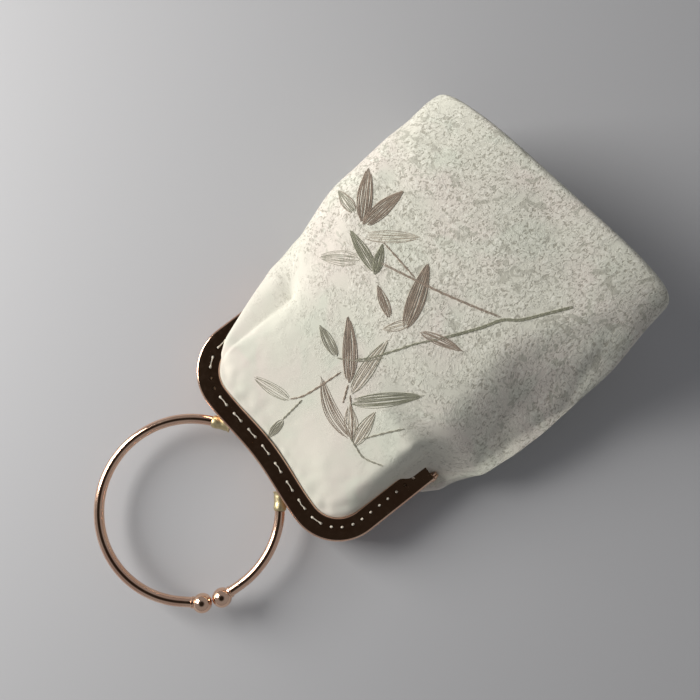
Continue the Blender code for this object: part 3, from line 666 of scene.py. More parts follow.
# %% [markdown]
# ## Figured cloth
#
# The pouch is cut from a cream silk damask. Its ground is smooth satin; over it, irregular blots of
# a looser figure show as a speckle of small raised floats. The pale tops of the floats are a painted
# highlight, and the dark grey-brown between them is painted shade. The blots crowd toward the base
# and thin out near the frame. Broad faint clouds of pink, green and grey tint the whole. Several
# scales of noise build it: clouds of 4 cm, blots of 1 cm with ragged edges, satin islands of a few
# millimetres, whose grey is a painted reflection of the smooth satin's darker sheen, and floats of
# about a millimetre that are longer along the cloth. All of them read the measured map, so the
# figure follows the cloth round every fold.

# %% Damask material
def make_damask(name):
    material, ink, shader = start_material(name, Roughness=0.75, Specular_IOR_Level=0.25,
                                           Sheen_Weight=0.12, Sheen_Roughness=0.5)
    place = ink.add("ShaderNodeUVMap", {"uv_map": "weave"})
    down = place.part("Y")
    clouds = ink.add("ShaderNodeTexNoise", None, {"Vector": place, "Scale": 24.0, "Detail": 2.0})
    greens = ink.add("ShaderNodeTexNoise", None, {"Vector": place, "Scale": 47.0, "Detail": 1.0,
                                                  "Distortion": 0.6})
    blots = ink.add("ShaderNodeTexNoise", None, {"Vector": place, "Scale": 95.0, "Detail": 7.0,
                                                 "Roughness": 0.70, "Distortion": 0.35})
    islands = ink.add("ShaderNodeTexNoise", None, {"Vector": place, "Scale": 170.0, "Detail": 4.0,
                                                   "Distortion": 1.2})
    stretch = ink.add("ShaderNodeMapping", None, {"Vector": place, "Scale": (1.0, 0.7, 1.0)})
    floats = ink.add("ShaderNodeTexNoise", None, {"Vector": stretch, "Scale": 800.0, "Detail": 3.0,
                                                  "Roughness": 0.6, "Distortion": 1.0})
    grain = ink.add("ShaderNodeTexNoise", None, {"Vector": place, "Scale": 2600.0, "Detail": 1.0})
    threads = ink.add("ShaderNodeTexWave", {"bands_direction": "Y"},
                      {"Vector": place, "Scale": 620.0, "Distortion": 1.5, "Detail": 1.0})
    crowd = down.between(0.02, 0.14) * 0.13
    figure = (blots + crowd).between(0.52, 0.60) * down.between(0.035, 0.10)
    satin = (islands + crowd * 0.25).between(0.620, 0.645) * down.between(0.06, 0.12)
    painted_shade_gaps = floats.between(0.45, 0.39)
    painted_float_highlight = floats.between(0.57, 0.63)
    base = clouds.between(0.42, 0.62).blend((0.745, 0.730, 0.625), (0.780, 0.715, 0.635))
    base = (greens.between(0.52, 0.66) * 0.6).blend(base, (0.700, 0.725, 0.610))
    base = (grain.between(0.35, 0.75) * 0.25).blend(base, (0.58, 0.565, 0.48))
    # Painted shade: the gaps between the floats are darkened to grey-brown.
    colour = (figure * painted_shade_gaps * 0.62).blend(base, (0.27, 0.245, 0.185))
    # Painted highlight: the tops of the floats are lightened to pale cream.
    colour = (figure * painted_float_highlight * 0.75).blend(colour, (0.90, 0.88, 0.78))
    # Painted reflection: the satin islands are greyed for the darker sheen of smooth satin. Their lower
    # roughness below is real.
    colour = (satin * 0.75).blend(colour, (0.49, 0.475, 0.395))
    height = figure * (floats * 1.4 - painted_shade_gaps * 0.5) + threads * 0.12 + blots * 0.5 + grain * 0.15
    bump = ink.add("ShaderNodeBump", None, {"Height": height, "Strength": 0.55, "Distance": 0.0004})
    roughness = 0.80 - 0.18 * satin
    drive(shader, Base_Color=colour, Roughness=roughness, Normal=bump)
    return material


damask = make_damask("damask")
print("made", damask.name)

# %% [markdown]
# ## Making the cloth soft
#
# A form straight from formulas looks like moulded plastic. Real cloth that was sewn, turned and
# stuffed has slow hollows and a few long creases that run from the corners. The points are moved
# along their normals by smooth noise: broad hollows everywhere, short puckers close to the sewn
# edges, and long soft folds down the slack sides. The places near seams are held still so that
# the pieces keep meeting.

# %% Hollows, puckers and folds
def soften(obj):
    mesh = obj.data
    moved = []
    for vertex in mesh.vertices:
        p = vertex.co - MOVE
        x, s, z = p.x, p.y, p.z
        body = ease((s - 0.055) / 0.06)
        side = ease((abs(x + 0.35 * max(s - LEG, 0) * 0.16) - 0.045) / 0.02)
        broad = noise.noise(Vector((x * 22, s * 26, z * 22))) * 0.0017 * mix(0.3, 1.0, body)
        folds = noise.noise(Vector((x * 60 + 7, s * 17, z * 75))) * 0.0016 * side * body
        edge = inside_edge(x, s) if s < LEG else 0.05
        pucker = noise.noise(Vector((x * 210, s * 210, 3))) * 0.0007
        pucker *= math.exp(-max(edge, 0) / 0.012) * ease(edge / 0.002)
        crease = noise.noise(Vector((x * 48 + s * 30, s * 11, 5)))
        crease = -0.0009 * max(0.0, 1 - abs(crease) * 6) * side * body * ease((POUCH - 0.004 - s) / 0.03)
        calm = ease((POUCH - 0.002 - s) / 0.02) if s > LEG else 1.0
        still = ease((z - 0.001) / 0.008)
        moved.append(vertex.co + vertex.normal * (broad + folds + pucker + crease) * calm * still)
    for vertex, place in zip(mesh.vertices, moved):
        vertex.co = place
    mesh.update()


def finish_cloth(obj, material, subdivide):
    if subdivide:
        smooth = obj.modifiers.new("smooth", "SUBSURF")
        smooth.levels = smooth.render_levels = subdivide
        smooth.uv_smooth = "PRESERVE_BOUNDARIES"
    graph = bpy.context.evaluated_depsgraph_get()
    mesh = bpy.data.meshes.new_from_object(obj.evaluated_get(graph))
    obj.modifiers.clear()
    obj.data = mesh
    mesh.materials.clear()
    mesh.materials.append(material)
    return obj


front = grid_object("pouch_front", front_rows)
back = grid_object("pouch_back", back_rows, flip=True)
base_mesh = bpy.data.meshes.new("pouch_base")
base_mesh.from_pydata(base_points, [], base_faces)
base = bpy.data.objects.new("pouch_base", base_mesh)
bpy.context.scene.collection.objects.link(base)
layer = base_mesh.uv_layers.new(name="weave")
for loop in base_mesh.loops:
    p = base_mesh.vertices[loop.vertex_index].co
    layer.data[loop.index].uv = (p.x, p.z + POUCH)
for polygon in base_mesh.polygons:
    polygon.use_smooth = True
soften(front)
finish_cloth(front, damask, 1)
finish_cloth(back, damask, 1)
finish_cloth(base, damask, 0)
for obj in (front, back, base):
    print(obj.name, len(obj.data.polygons), "faces")

# %% [markdown]
# ## Riding on the model
#
# The front cloth is sewn to the half of the frame that opens, and the rest of the pouch stays
# behind. Here the back and the base ride on the bag; the front cloth, its lining and the sprig have
# their places fixed in their meshes and ride on no body.


def bend_with_front(obj):
    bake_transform(obj)


bend_with_front(front)
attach(back, "bag")
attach(base, "bag")
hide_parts("cloth_front", "cloth_fold", "cloth_flap", "cloth_gusset_left", "cloth_gusset_right")
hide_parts("cloth_back")
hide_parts("cloth_base")

# %% [markdown]
# ## Lining
#
# Inside the figured cloth hangs a plain satin lining. It can be seen only when the clasp is open.
# It is the same form, drawn in by the cloth's thickness, so its points are the cloth's points moved
# inward along their normals. Its satin has a fine rib and a slow drift between cream and sand.

# %% Lining
def make_satin(name):
    material, ink, shader = start_material(name, Roughness=0.5, Sheen_Weight=0.2)
    place = ink.add("ShaderNodeUVMap", {"uv_map": "weave"})
    slow = ink.add("ShaderNodeTexNoise", None, {"Vector": place, "Scale": 40.0, "Detail": 3.0})
    rib = ink.add("ShaderNodeTexWave", {"bands_direction": "X"},
                  {"Vector": place, "Scale": 420.0, "Distortion": 0.8, "Detail": 2.0})
    colour = slow.between(0.35, 0.65).blend((0.70, 0.65, 0.54), (0.62, 0.56, 0.45))
    bump = ink.add("ShaderNodeBump", None, {"Height": rib * 0.5 + slow, "Strength": 0.3,
                                            "Distance": 0.0003})
    drive(shader, Base_Color=(rib * 0.25).blend(colour, (0.80, 0.76, 0.66)),
          Roughness=0.42 + 0.2 * slow, Normal=bump)
    return material


satin = make_satin("satin")


LINING_DEPTH = 0.0017
BASE_LINING_DEPTH = 0.0042


def drawn_in(obj, name, depth):
    """A copy of a cloth piece, moved inward and turned inside out."""
    mesh = obj.data.copy()
    mesh.name = name
    for vertex, source in zip(mesh.vertices, obj.data.vertices):
        vertex.co = source.co - source.normal * depth
    mesh.flip_normals()
    mesh.materials.clear()
    mesh.materials.append(satin)
    copy = bpy.data.objects.new(name, mesh)
    bpy.context.scene.collection.objects.link(copy)
    return copy


front_lining = drawn_in(front, "pouch_lining", LINING_DEPTH)
back_lining = drawn_in(back, "back_lining", LINING_DEPTH)
base_lining = drawn_in(base, "base_lining", BASE_LINING_DEPTH)
bend_with_front(front_lining)
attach(back_lining, "bag")
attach(base_lining, "bag")
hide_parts("lining_front", "lining_fold", "lining_flap", "lining_gusset_left",
            "lining_gusset_right")
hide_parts("lining_back")
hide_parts("lining_base")
print("lining of", len(front_lining.data.polygons), "faces in front")

# %% [markdown]
# ## Solids of revolution and swept tubes
#
# Everything round on the bag comes from two helpers. `swept` pulls a circle along a line of points,
# with its own radius at each point, and keeps it from twisting. `turned` spins a profile about an
# axis, as on a lathe. `add_mesh` makes the object, shades it smooth and keeps its sharp edges.

# %% Sweep and lathe
def steps(start, end, count):
    return [mix(start, end, k / count) for k in range(count + 1)]


def add_mesh(name, points, faces, material, sharp=40):
    mesh = bpy.data.meshes.new(name)
    mesh.from_pydata(points, [], faces)
    bm = bmesh.new()
    bm.from_mesh(mesh)
    bmesh.ops.recalc_face_normals(bm, faces=bm.faces)
    bm.to_mesh(mesh)
    bm.free()
    for polygon in mesh.polygons:
        polygon.use_smooth = True
    mesh.set_sharp_from_angle(angle=math.radians(sharp))
    mesh.materials.append(material)
    obj = bpy.data.objects.new(name, mesh)
    bpy.context.scene.collection.objects.link(obj)
    return obj


def loft(rings, first=0):
    """Faces through closed rings of equally many points, with a cap at either end."""
    count = len(rings[0])
    faces = []
    for r in range(len(rings) - 1):
        for k in range(count):
            j = (k + 1) % count
            a = first + r * count
            faces.append((a + k, a + j, a + count + j, a + count + k))
    last = first + (len(rings) - 1) * count
    faces.append(tuple(range(first + count - 1, first - 1, -1)))
    faces.append(tuple(range(last, last + count)))
    return [p for ring in rings for p in ring], faces


def swept(line, radii, sides, first=0):
    rings = []
    side = None
    for k, point in enumerate(line):
        ahead = (line[min(k + 1, len(line) - 1)] - line[max(k - 1, 0)]).normalized()
        if side is None:
            side = ahead.orthogonal()
        side = (side - ahead * side.dot(ahead)).normalized()
        up = ahead.cross(side)
        rings.append([point + (side * math.cos(a) + up * math.sin(a)) * radii[k]
                      for a in steps(0, math.tau, sides)[:-1]])
    return loft(rings, first)


def turned(profile, origin, direction, sides=36):
    side = direction.orthogonal().normalized()
    up = direction.cross(side)
    rings = [[origin + direction * far + (side * math.cos(a) + up * math.sin(a)) * radius
              for a in steps(0, math.tau, sides)[:-1]] for radius, far in profile]
    return loft(rings)


straight = swept([Vector((0, 0, 0)), Vector((0, 0, 1))], [1, 1], 5)
print("a straight tube of five sides has", len(straight[1]), "faces")

# %% [markdown]
# ## The clasp frame
#
# Each half is a strip of sheet metal pressed to a channel: a rolled outer edge, a broad pierced
# face, and an inner lip that backs the cloth. On the real frame the strip is bent round the two
# corners in one go, so the reflection runs along it without a break. The channel's section is
# swept round the outline in fine steps for that. The sewing holes are then punched with one
# boolean, and the round hinge ears are laid on.

# %% Frame halves
SHEET = 0.0008
EDGE_ROLL = 0.0011
FACE_FALL = 0.0007
LIP_WIDTH = 0.0042
HOLE_RADIUS = 0.0008
HOLE_INSET = 0.0069
EAR_RADIUS = 0.0034


def frame_outline(leg_end, leg_steps=10, corner_steps=20, bar_steps=40):
    """Points and inward directions along the outer edge, from the left leg's end to the right's."""
    corner_x = FRAME_HALF - CORNER
    half = [(Vector((FRAME_HALF, y)), Vector((-1, 0))) for y in steps(leg_end, CORNER, leg_steps)[:-1]]
    for angle in steps(0, math.pi / 2, corner_steps):
        out = Vector((math.cos(angle), -math.sin(angle)))
        half.append((Vector((corner_x, CORNER)) + out * CORNER, -out))
    bar = [(Vector((x, bar_bow(x))), Vector((0, 1))) for x in steps(-corner_x, corner_x, bar_steps)]
    left = [(Vector((-p.x, p.y)), Vector((-n.x, n.y))) for p, n in half]
    return left[:-1] + bar + half[-2::-1]


def face_height(inset):
    return HALF_DEPTH - FACE_FALL * (inset - EDGE_ROLL) / (FACE - SHEET - EDGE_ROLL)


def channel_section():
    top, low = HALF_DEPTH, GAP / 2
    section = [(0, low)]
    section += [(EDGE_ROLL * (1 - math.cos(a)), top - EDGE_ROLL * (1 - math.sin(a)))
                for a in steps(0, math.pi / 2, 8)]
    section += [(inset, face_height(inset)) for inset in (0.004, HOLE_INSET, 0.009)]
    edge = FACE - SHEET
    section += [(edge + SHEET * math.sin(a), top - FACE_FALL - SHEET * (1 - math.cos(a)))
                for a in steps(0, math.pi / 2, 4)]
    return section + [(edge, top - FACE_FALL - SHEET), (EDGE_ROLL + SHEET / 2, top - SHEET),
                      (SHEET, top - EDGE_ROLL - SHEET / 2), (SHEET, low + SHEET),
                      (LIP_WIDTH, low + SHEET), (LIP_WIDTH, low)]


def hole_places():
    """Where the sewing holes lie, evenly spaced round the frame."""
    dense = frame_outline(LEG - 0.008, leg_steps=12, corner_steps=16)
    line = [point + inward * HOLE_INSET for point, inward in dense]
    far = np.r_[0, np.cumsum([(b - a).length for a, b in zip(line[:-1], line[1:])])]
    where = np.linspace(0, far[-1], int(far[-1] / 0.0052) + 1)
    return [Vector((x, y)) for x, y in zip(np.interp(where, far, [p.x for p in line]),
                                           np.interp(where, far, [p.y for p in line]))]


def at_frame(place, side, height):
    return MOVE + Vector((place.x, place.y, CLASP_HEIGHT + side * height))


def punch(obj, cutter_points, cutter_faces):
    cutter = add_mesh("cutter", cutter_points, cutter_faces, rose_gold)
    cut = obj.modifiers.new("holes", "BOOLEAN")
    cut.object = cutter
    cut.operation = "DIFFERENCE"
    cut.solver = "EXACT"
    graph = bpy.context.evaluated_depsgraph_get()
    mesh = bpy.data.meshes.new_from_object(obj.evaluated_get(graph))
    obj.modifiers.clear()
    obj.data = mesh
    bpy.data.objects.remove(cutter, do_unlink=True)


def merge(obj, points, faces):
    """Lay one more closed part on an object's mesh."""
    extra = add_mesh("extra", points, faces, rose_gold)
    bm = bmesh.new()
    bm.from_mesh(obj.data)
    bm.from_mesh(extra.data)
    bm.to_mesh(obj.data)
    bm.free()
    bpy.data.objects.remove(extra, do_unlink=True)


def make_half(name, side, leg_end, ear_span):
    rings = [[at_frame(point + inward * inset, side, height) for inset, height in channel_section()]
             for point, inward in frame_outline(leg_end)]
    half = add_mesh(name, *loft(rings), rose_gold)
    points, faces = [], []
    for hole in HOLES:
        low = at_frame(hole, side, HALF_DEPTH - 0.003)
        plug = turned([(HOLE_RADIUS, 0), (HOLE_RADIUS, 0.005)], low, Vector((0, 0, side)), 16)
        faces += [tuple(len(points) + k for k in face) for face in plug[1]]
        points += plug[0]
    punch(half, points, faces)
    for hand in (-1, 1):
        start = MOVE + Vector((hand * ear_span[0], LEG, CLASP_HEIGHT))
        wide = ear_span[1] - ear_span[0]
        profile = [(EAR_RADIUS - 0.0002, 0), (EAR_RADIUS, 0.0002), (EAR_RADIUS, wide - 0.0002),
                   (EAR_RADIUS - 0.0002, wide)]
        merge(half, *turned(profile, start, Vector((hand, 0, 0)), 40))
    half.data.set_sharp_from_angle(angle=math.radians(35))
    return half


HOLES = hole_places()
OUTER_EAR = (FRAME_HALF - SHEET - 0.0001, FRAME_HALF + 0.0001)
INNER_EAR = (OUTER_EAR[0] - GAP - SHEET - 0.0002, OUTER_EAR[0] - GAP)
front_half = make_half("front_half_frame", 1, LEG, OUTER_EAR)
back_leg = LEG - EAR_RADIUS - 3 * GAP
back_half = make_half("back_half_frame", -1, back_leg, INNER_EAR)
for hand in (-1, 1):
    near, far = INNER_EAR[0] + 0.0001, INNER_EAR[1] - 0.0001
    outline = [(near, back_leg - 0.007), (FRAME_HALF - SHEET / 2, back_leg - 0.007),
               (FRAME_HALF - SHEET / 2, back_leg - SHEET), (far, back_leg - SHEET), (far, LEG), (near, LEG)]
    tab = [[MOVE + Vector((hand * x, y, z)) for x, y in outline]
           for z in (CLASP_HEIGHT - 0.8 * EAR_RADIUS, CLASP_HEIGHT - GAP)]
    merge(back_half, *loft(tab))
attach(front_half, "front_half")
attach(back_half, "bag")
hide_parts("front_frame")
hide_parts("back_frame")
print(len(HOLES), "holes,", len(front_half.data.polygons), "faces in a half")

# %% [markdown]
# ## Rivets, ring and balls
#
# The two rivets are headed pins. The ring is a tube in two arcs, each ending in a ball with a small
# collar, and each standing on the bar in a sleeve that was soldered on and left duller and
# yellower than the plating.

# %% Solder
def make_solder(name):
    material, ink, shader = start_material(name, Metallic=1.0)
    place = ink.add("ShaderNodeTexCoord", out="Object")
    blots = ink.add("ShaderNodeTexNoise", None, {"Vector": place, "Scale": 500.0, "Detail": 4.0})
    grain = ink.add("ShaderNodeTexNoise", None, {"Vector": place, "Scale": 2600.0, "Detail": 3.0})
    colour = blots.between(0.35, 0.65).blend((0.55, 0.47, 0.26), (0.72, 0.60, 0.36))
    bump = ink.add("ShaderNodeBump", None, {"Height": grain + blots, "Strength": 0.4, "Distance": 0.0002})
    drive(shader, Base_Color=colour, Roughness=0.30 + 0.2 * grain, Normal=bump)
    return material


solder = make_solder("solder")

# %% Rivets and ring
RING_RADIUS = 0.0445
TUBE_RADIUS = 0.0025
RING_FAR = 0.0385
BALL_RADIUS = 0.0048
BALL_OFFSET = 0.0012
CLASP_ANGLE = math.radians(-22.5)
RUN_OUT = math.radians(12)
COLLAR = 0.0029
FOOT_RADIUS = 0.0031
FOOT_LENGTH = 0.0085
PIN_RADIUS = 0.001
PIN_HEAD = 0.002
PIN_DOME = 0.0007


def ring_point(angle, radius=RING_RADIUS):
    place = Vector((radius * math.cos(angle), radius * math.sin(angle) - RING_FAR, CLASP_HEIGHT))
    return MOVE + place


def foot_angle():
    """Where the ring's circle meets the bar's outer edge, on the right."""
    angle = 1.0
    for _ in range(8):
        angle = math.asin((RING_FAR + bar_bow(RING_RADIUS * math.cos(angle))) / RING_RADIUS)
    return angle


def make_arc(tag, start, turn_way, ball_angle, body):
    sleeve_angle = start + turn_way * FOOT_LENGTH / RING_RADIUS
    toward_bar = Vector((turn_way * math.sin(sleeve_angle), -turn_way * math.cos(sleeve_angle), 0))
    ball_place = ring_point(ball_angle, RING_RADIUS + BALL_OFFSET)
    bend_angle = ball_angle - turn_way * RUN_OUT
    ahead = (ball_place - ring_point(bend_angle)).normalized()
    neck = math.sqrt(BALL_RADIUS ** 2 - COLLAR ** 2)
    collar_start = ball_place - ahead * (neck + 0.0016)
    first = sleeve_angle + turn_way * GAP / RING_RADIUS
    count = max(8, round(abs(bend_angle - first) / math.radians(2)))
    line = [ring_point(a) for a in steps(first, bend_angle, count)]
    line += [line[-1].lerp(collar_start, t) for t in (0.33, 0.67, 1.0)]
    tube = add_mesh(f"{tag}_ring", *swept(line, [TUBE_RADIUS] * len(line), 32), rose_gold)
    profile = [(FOOT_RADIUS - 0.0006, -0.0002), (FOOT_RADIUS - 0.0002, 0.0001), (FOOT_RADIUS, 0.0006)]
    profile += [(FOOT_RADIUS + 0.00012 * math.sin(k), 0.0006 + 0.0008 * k) for k in range(1, 10)]
    profile.append((FOOT_RADIUS + 0.0006, FOOT_LENGTH + 0.0006))
    foot = add_mesh(f"{tag}_sleeve", *turned(profile, ring_point(sleeve_angle), toward_bar), solder)
    profile = [(COLLAR * 0.88, 0), (COLLAR, 0.0003), (COLLAR, 0.0012), (COLLAR * 0.9, 0.0016)]
    cap = math.asin(COLLAR * 0.9 / BALL_RADIUS)
    profile += [(BALL_RADIUS * math.sin(a), 0.0016 + neck + BALL_RADIUS * math.cos(a))
                for a in steps(math.pi - cap, 0.03, 30)]
    ball = add_mesh(f"{tag}_knob", *turned(profile, collar_start, ahead, 48), rose_gold)
    for obj, node, slot in ((tube, "arc", "frame_metal"), (foot, "foot", "solder"),
                            (ball, "ball", "frame_metal")):
        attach(obj, body)
        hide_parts(f"{tag}_handle_{node}")


half_gap = math.asin((BALL_RADIUS + GAP / 2) / (RING_RADIUS + BALL_OFFSET))
make_arc("back", math.pi - foot_angle(), 1, math.tau + CLASP_ANGLE - half_gap, "bag")
make_arc("front", foot_angle(), -1, CLASP_ANGLE + half_gap, "front_half")
inside, outside = INNER_EAR[0] - GAP, OUTER_EAR[1] + GAP
for hand, tag in ((-1, "left"), (1, "right")):
    start = MOVE + Vector((hand * inside, LEG, CLASP_HEIGHT))
    head = [(PIN_HEAD * math.sin(a), PIN_DOME * math.cos(a)) for a in steps(0.05, math.pi / 2, 8)]
    profile = [(r, -far) for r, far in head] + [(PIN_RADIUS, 0), (PIN_RADIUS, outside - inside)]
    profile += [(r, outside - inside + far) for r, far in head[::-1]]
    rivet = add_mesh(f"rivet_{tag}", *turned(profile, start, Vector((hand, 0, 0)), 28), rose_gold)
    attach(rivet, "bag")
    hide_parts(f"hinge_rivet_{tag}")
print("ring of", round(2 * (RING_RADIUS + TUBE_RADIUS) * 1000), "mm")

# %% [markdown]
# ## Sewing thread
#
# The bag was sewn into its frame by hand with soft cream cotton. Along the bar the needle came up
# through one hole and went down the next, so each stitch is a short bar between two plump ends.
# Round the right corner and down the right leg it went back down its own hole and left only a dot.
# Near the left corner three holes were skipped and stay dark. The twist of the cotton is in its
# material, the swelling where it is squeezed through a hole is in its shape.

# %% Cotton thread
def make_cotton(name, pale, dark):
    material, ink, shader = start_material(name, Roughness=0.85, Sheen_Weight=0.3)
    place = ink.add("ShaderNodeTexCoord", out="Object")
    slow = ink.add("ShaderNodeTexNoise", None, {"Vector": place, "Scale": 260.0, "Detail": 3.0})
    twist = ink.add("ShaderNodeTexWave", {"bands_direction": "DIAGONAL"},
                    {"Vector": place, "Scale": 1400.0, "Distortion": 2.0, "Detail": 1.0})
    mixed = (twist * 0.5 + slow * 0.5).between(0.25, 0.75)
    bump = ink.add("ShaderNodeBump", None, {"Height": twist, "Strength": 0.6, "Distance": 0.0001})
    drive(shader, Base_Color=mixed.blend(dark, pale), Roughness=0.75 + 0.2 * slow, Normal=bump)
    return material


cotton = make_cotton("cotton", (0.84, 0.80, 0.69), (0.60, 0.54, 0.43))
SKIPPED = (9, 10, 11, 36)
DOTTED = range(27, 36)


def make_stitches(name, side, body, node, skipped, dotted):
    over = face_height(HOLE_INSET) + 0.0003
    under = face_height(HOLE_INSET) - SHEET - 0.0006
    line = []

    def put(place, height, radius):
        point = at_frame(place, side, height)
        line.append([point.x, point.y, point.z, radius])

    k = 0
    while k < len(HOLES) - 1:
        here, after = HOLES[k], HOLES[k + 1]
        if k in skipped:
            put(here, under, 0.00030)
            k += 1
        elif k in dotted:
            step = (after - here) * 0.05
            put(here - step, under, 0.00032)
            put(here - step, over - 0.0002, 0.00055)
            put(here + step, over - 0.0002, 0.00055)
            put(here + step, under, 0.00032)
            k += 1
        else:
            drift = Vector((0, 0.0003 * math.sin(k * 2.3)))
            put(here, under, 0.00032)
            put(here, over, 0.00062)
            put(here.lerp(after, 0.22), over + 0.00015, 0.00027)
            put(here.lerp(after, 0.5) + drift, over + 0.0002, 0.00022)
            put(here.lerp(after, 0.78), over + 0.00015, 0.00027)
            put(after, over, 0.00062)
            put(after, under, 0.00032)
            k += 2
    fine = spread(line, 14 * len(HOLES))
    points = [Vector(p[:3]) for p in fine]
    stitches = add_mesh(name, *swept(points, [p[3] for p in fine], 8), cotton, 80)
    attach(stitches, body)
    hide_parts(node)


make_stitches("front_stitches", 1, "front_half", "front_thread", SKIPPED, DOTTED)
make_stitches("back_stitches", -1, "bag", "back_thread", (), ())
print("stitches through", len(HOLES) - len(SKIPPED), "of", len(HOLES), "holes")

# %% [markdown]
# ## Embroidery
#
# A bamboo sprig is worked on the front in floss of four muted colours. The leaves are long-and-short
# stitch: strands run from the base of the leaf to its tip, side by side, and each lies a little
# differently. The twigs are couched cords of two or three strands. Each strand here is its own thin
# tube. The places were read off the photo, and a ray from the camera through each place finds the
# cloth there, so that the strands lie on the folds wherever the cloth went.

# %% Floss and the way onto the cloth
bpy.context.view_layer.update()
cloth_tree = BVHTree.FromObject(front, bpy.context.evaluated_depsgraph_get())
chance = random.Random(11)


def on_cloth(across, down, lift):
    toward = turn.to_3x3() @ Vector(((across - PHOTO_SIZE / 2) / FOCAL_PIXELS,
                                     (PHOTO_SIZE / 2 - down) / FOCAL_PIXELS, -1)).normalized()
    place, normal, _, _ = cloth_tree.ray_cast(camera.matrix_world.translation, toward)
    return place + normal * lift


FLOSS = {
    "umber": make_cotton("umber_floss", (0.50, 0.40, 0.31), (0.25, 0.19, 0.14)),
    "sage": make_cotton("sage_floss", (0.50, 0.47, 0.37), (0.27, 0.26, 0.19)),
    "olive": make_cotton("olive_floss", (0.42, 0.41, 0.30), (0.20, 0.20, 0.13)),
    "ivory": make_cotton("ivory_floss", (0.70, 0.62, 0.50), (0.44, 0.38, 0.28)),
}
strands = {colour: ([], []) for colour in FLOSS}


def add_strand(colour, places, radius):
    points, faces = strands[colour]
    line = [on_cloth(x, y, radius * 0.7) for x, y in places]
    radii = [radius * (0.45 + 0.55 * math.sin(math.pi * k / (len(line) - 1)) ** 0.4)
             for k in range(len(line))]
    more_points, more_faces = swept(line, radii, 5, len(points))
    points.extend(more_points)
    faces.extend(more_faces)


def leaf(tip, base, width, colour, gap, radius, edge_colour=None, bend=0.0):
    """Long-and-short stitches. Width and the gap between strands are in pixels of the photo."""
    tip, base = Vector(tip), Vector(base)
    ahead = tip - base
    aside = Vector((-ahead.y, ahead.x)).normalized()
    count = max(3, round(width / gap))
    bow = (bend + chance.uniform(-0.02, 0.02)) * ahead.length
    for k in range(count):
        at_edge = k in (0, count - 1)
        share = mix(-1, 1, k / (count - 1))
        share += 0 if at_edge else chance.uniform(-0.12, 0.12)
        start = chance.uniform(0.0, 0.12)
        stop = 1 - abs(share) * 0.05 - chance.uniform(0.0, 0.10)
        places = []
        for t in steps(start, stop, 10):
            half = width / 2 * max(t, 0) ** 0.6 * max(1 - t, 0) ** 0.9 / 0.364
            wander = 0.25 * math.sin(t * 9 + k * 2.1)
            spot = base + ahead * t + aside * (share * half + wander + bow * math.sin(math.pi * t))
            places.append((spot.x, spot.y))
        strand_colour = edge_colour if at_edge and edge_colour else colour
        add_strand(strand_colour, places, radius * chance.uniform(0.8, 1.15))


def twig(places, width, colour, count):
    """A couched cord: strands that wind round each other along a line."""
    line = spread([list(p) for p in places], max(8, 5 * len(places)))
    for k in range(count):
        path = []
        for i, (x, y) in enumerate(line):
            a, b = line[max(i - 1, 0)], line[min(i + 1, len(line) - 1)]
            ahead = Vector((b[0] - a[0], b[1] - a[1])).normalized()
            off = width / 2 * math.sin(i * 1.1 + k * math.tau / count)
            path.append((x - ahead.y * off, y + ahead.x * off))
        add_strand(colour, path, 0.00022)


# %% The sprig
FULL, FINE = (0.95, 0.00021), (1.5, 0.00014)
LEAVES = (
    ((338, 190), (355, 213), 11, "sage", FULL, "umber"), ((369, 166), (362, 222), 15, "umber", FULL),
    ((405, 190), (363, 226), 14, "umber", FULL), ((424, 237), (362, 236), 12, "ivory", FINE, "umber"),
    ((349, 229), (375, 272), 11, "olive", FULL), ((383, 243), (375, 275), 9, "olive", FULL),
    ((318, 257), (360, 260), 15, "sage", FINE), ((429, 261), (405, 329), 17, "umber", FULL),
    ((377, 284), (390, 318), 9, "umber", FULL), ((464, 352), (420, 332), 9, "umber", FULL),
    ((381, 330), (412, 322), 9, "ivory", FINE, "umber"), ((319, 324), (337, 357), 10, "sage", FULL),
    ((348, 314), (349, 383), 14, "umber", FULL), ((389, 338), (351, 394), 14, "ivory", FINE, "olive"),
    ((252, 376), (290, 400), 11, "sage", FINE, "olive"), ((268, 438), (283, 420), 8, "sage", FULL),
    ((321, 376), (352, 440), 14, "umber", (1.35, 0.00017), "umber", -0.10),
    ((426, 395), (349, 403), 14, "olive", (1.2, 0.00018)),
    ((376, 411), (354, 446), 13, "ivory", FINE, "olive"),
    ((349, 404), (352, 438), 13, "ivory", FINE, "umber"),
)
TWIGS = (
    (((573, 307), (545, 314), (520, 320), (502, 320), (480, 328), (440, 339)), 2.6, "olive", 4),
    (((440, 339), (415, 344), (397, 350), (370, 358), (355, 359)), 1.6, "olive", 2),
    (((500, 317), (470, 305), (440, 292), (415, 280), (381, 263)), 1.8, "umber", 3),
    (((415, 278), (400, 261), (384, 243)), 1.2, "umber", 2),
    (((337, 358), (360, 361), (383, 358)), 1.2, "sage", 2),
    (((341, 372), (320, 386), (303, 396), (290, 399)), 1.2, "umber", 2),
    (((302, 400), (292, 410), (282, 420)), 1.2, "sage", 2),
    (((348, 385), (343, 403)), 1.2, "umber", 2),
    (((350, 395), (352, 418), (352, 440)), 1.2, "umber", 2),
    (((362, 439), (385, 433), (404, 429)), 1.2, "sage", 2),
    (((350, 437), (356, 447), (364, 458), (383, 466)), 1.2, "sage", 2),
)
for tip, base_place, width, colour, (gap, radius), *more in LEAVES:
    leaf(tip, base_place, width, colour, gap, radius, *more)
for line in TWIGS:
    twig(*line)
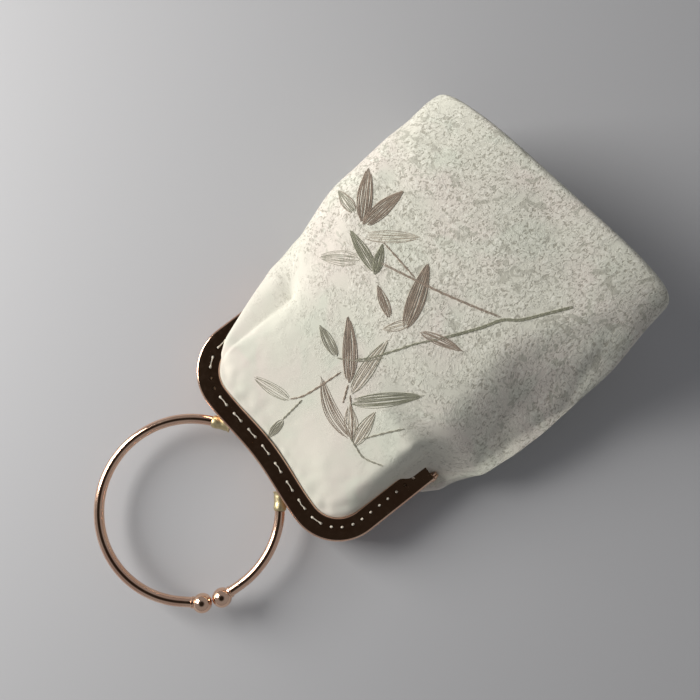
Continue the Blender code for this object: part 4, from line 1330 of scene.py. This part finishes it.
SPRIG_NODES = {
    "umber": ("leaf_02", "leaf_03", "leaf_08", "leaf_09", "leaf_10", "leaf_12", "leaf_16", "twig_side",
              "twig_tip", "twig_cross", "twig_lower"),
    "sage": ("leaf_01", "leaf_11", "leaf_15", "twig_upper", "twig_low", "twig_trail", "twig_end"),
    "olive": ("leaf_05", "leaf_06", "leaf_14", "leaf_17", "twig_main", "twig_middle"),
    "ivory": ("leaf_04", "leaf_07", "leaf_13", "leaf_18"),
}
for colour, (points, faces) in strands.items():
    sprig = add_mesh(f"sprig_{colour}", points, faces, FLOSS[colour], 80)
    bend_with_front(sprig)
    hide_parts(*SPRIG_NODES[colour])
    print(sprig.name, len(faces), "faces")

# %% [markdown]
# ## The board in the base
#
# Grey-brown millboard stiffens the base between cloth and lining. It keeps the model's own shape and
# gets pressed fibres: long pale flecks over a darker felted ground.

# %% Board
def make_millboard(name):
    material, ink, shader = start_material(name, Roughness=0.9)
    place = ink.add("ShaderNodeTexCoord", out="Object")
    felt = ink.add("ShaderNodeTexNoise", None, {"Vector": place, "Scale": 300.0, "Detail": 6.0})
    long = ink.add("ShaderNodeMapping", None, {"Vector": place, "Scale": (250.0, 900.0, 900.0)})
    fibre = ink.add("ShaderNodeTexNoise", None, {"Vector": long, "Scale": 1.0, "Detail": 2.0})
    colour = felt.between(0.3, 0.7).blend((0.28, 0.24, 0.19), (0.40, 0.35, 0.28))
    bump = ink.add("ShaderNodeBump", None, {"Height": felt + fibre, "Strength": 0.5, "Distance": 0.0003})
    drive(shader, Base_Color=fibre.between(0.62, 0.72).blend(colour, (0.60, 0.55, 0.46)),
          Roughness=0.8 + 0.15 * felt, Normal=bump)
    return material


board = frame["nodes"]["base_board"]
board.data.materials.clear()
board.data.materials.append(make_millboard("millboard"))

# %% [markdown]
# ## What is cloth
#
# The pieces cut from cloth. No pattern of the real bag is known: the widths and lengths are
# estimates of the unfolded panels, and the flat areas were read off the modelled pieces and
# rounded. So the areas printed below agree with them by making, and prove nothing.

def cloth_area(obj):
    return sum(polygon.area for polygon in obj.data.polygons)


for obj in (front, back, base, front_lining, back_lining, base_lining):
    print(obj.name, "area", round(cloth_area(obj), 5), "m2")
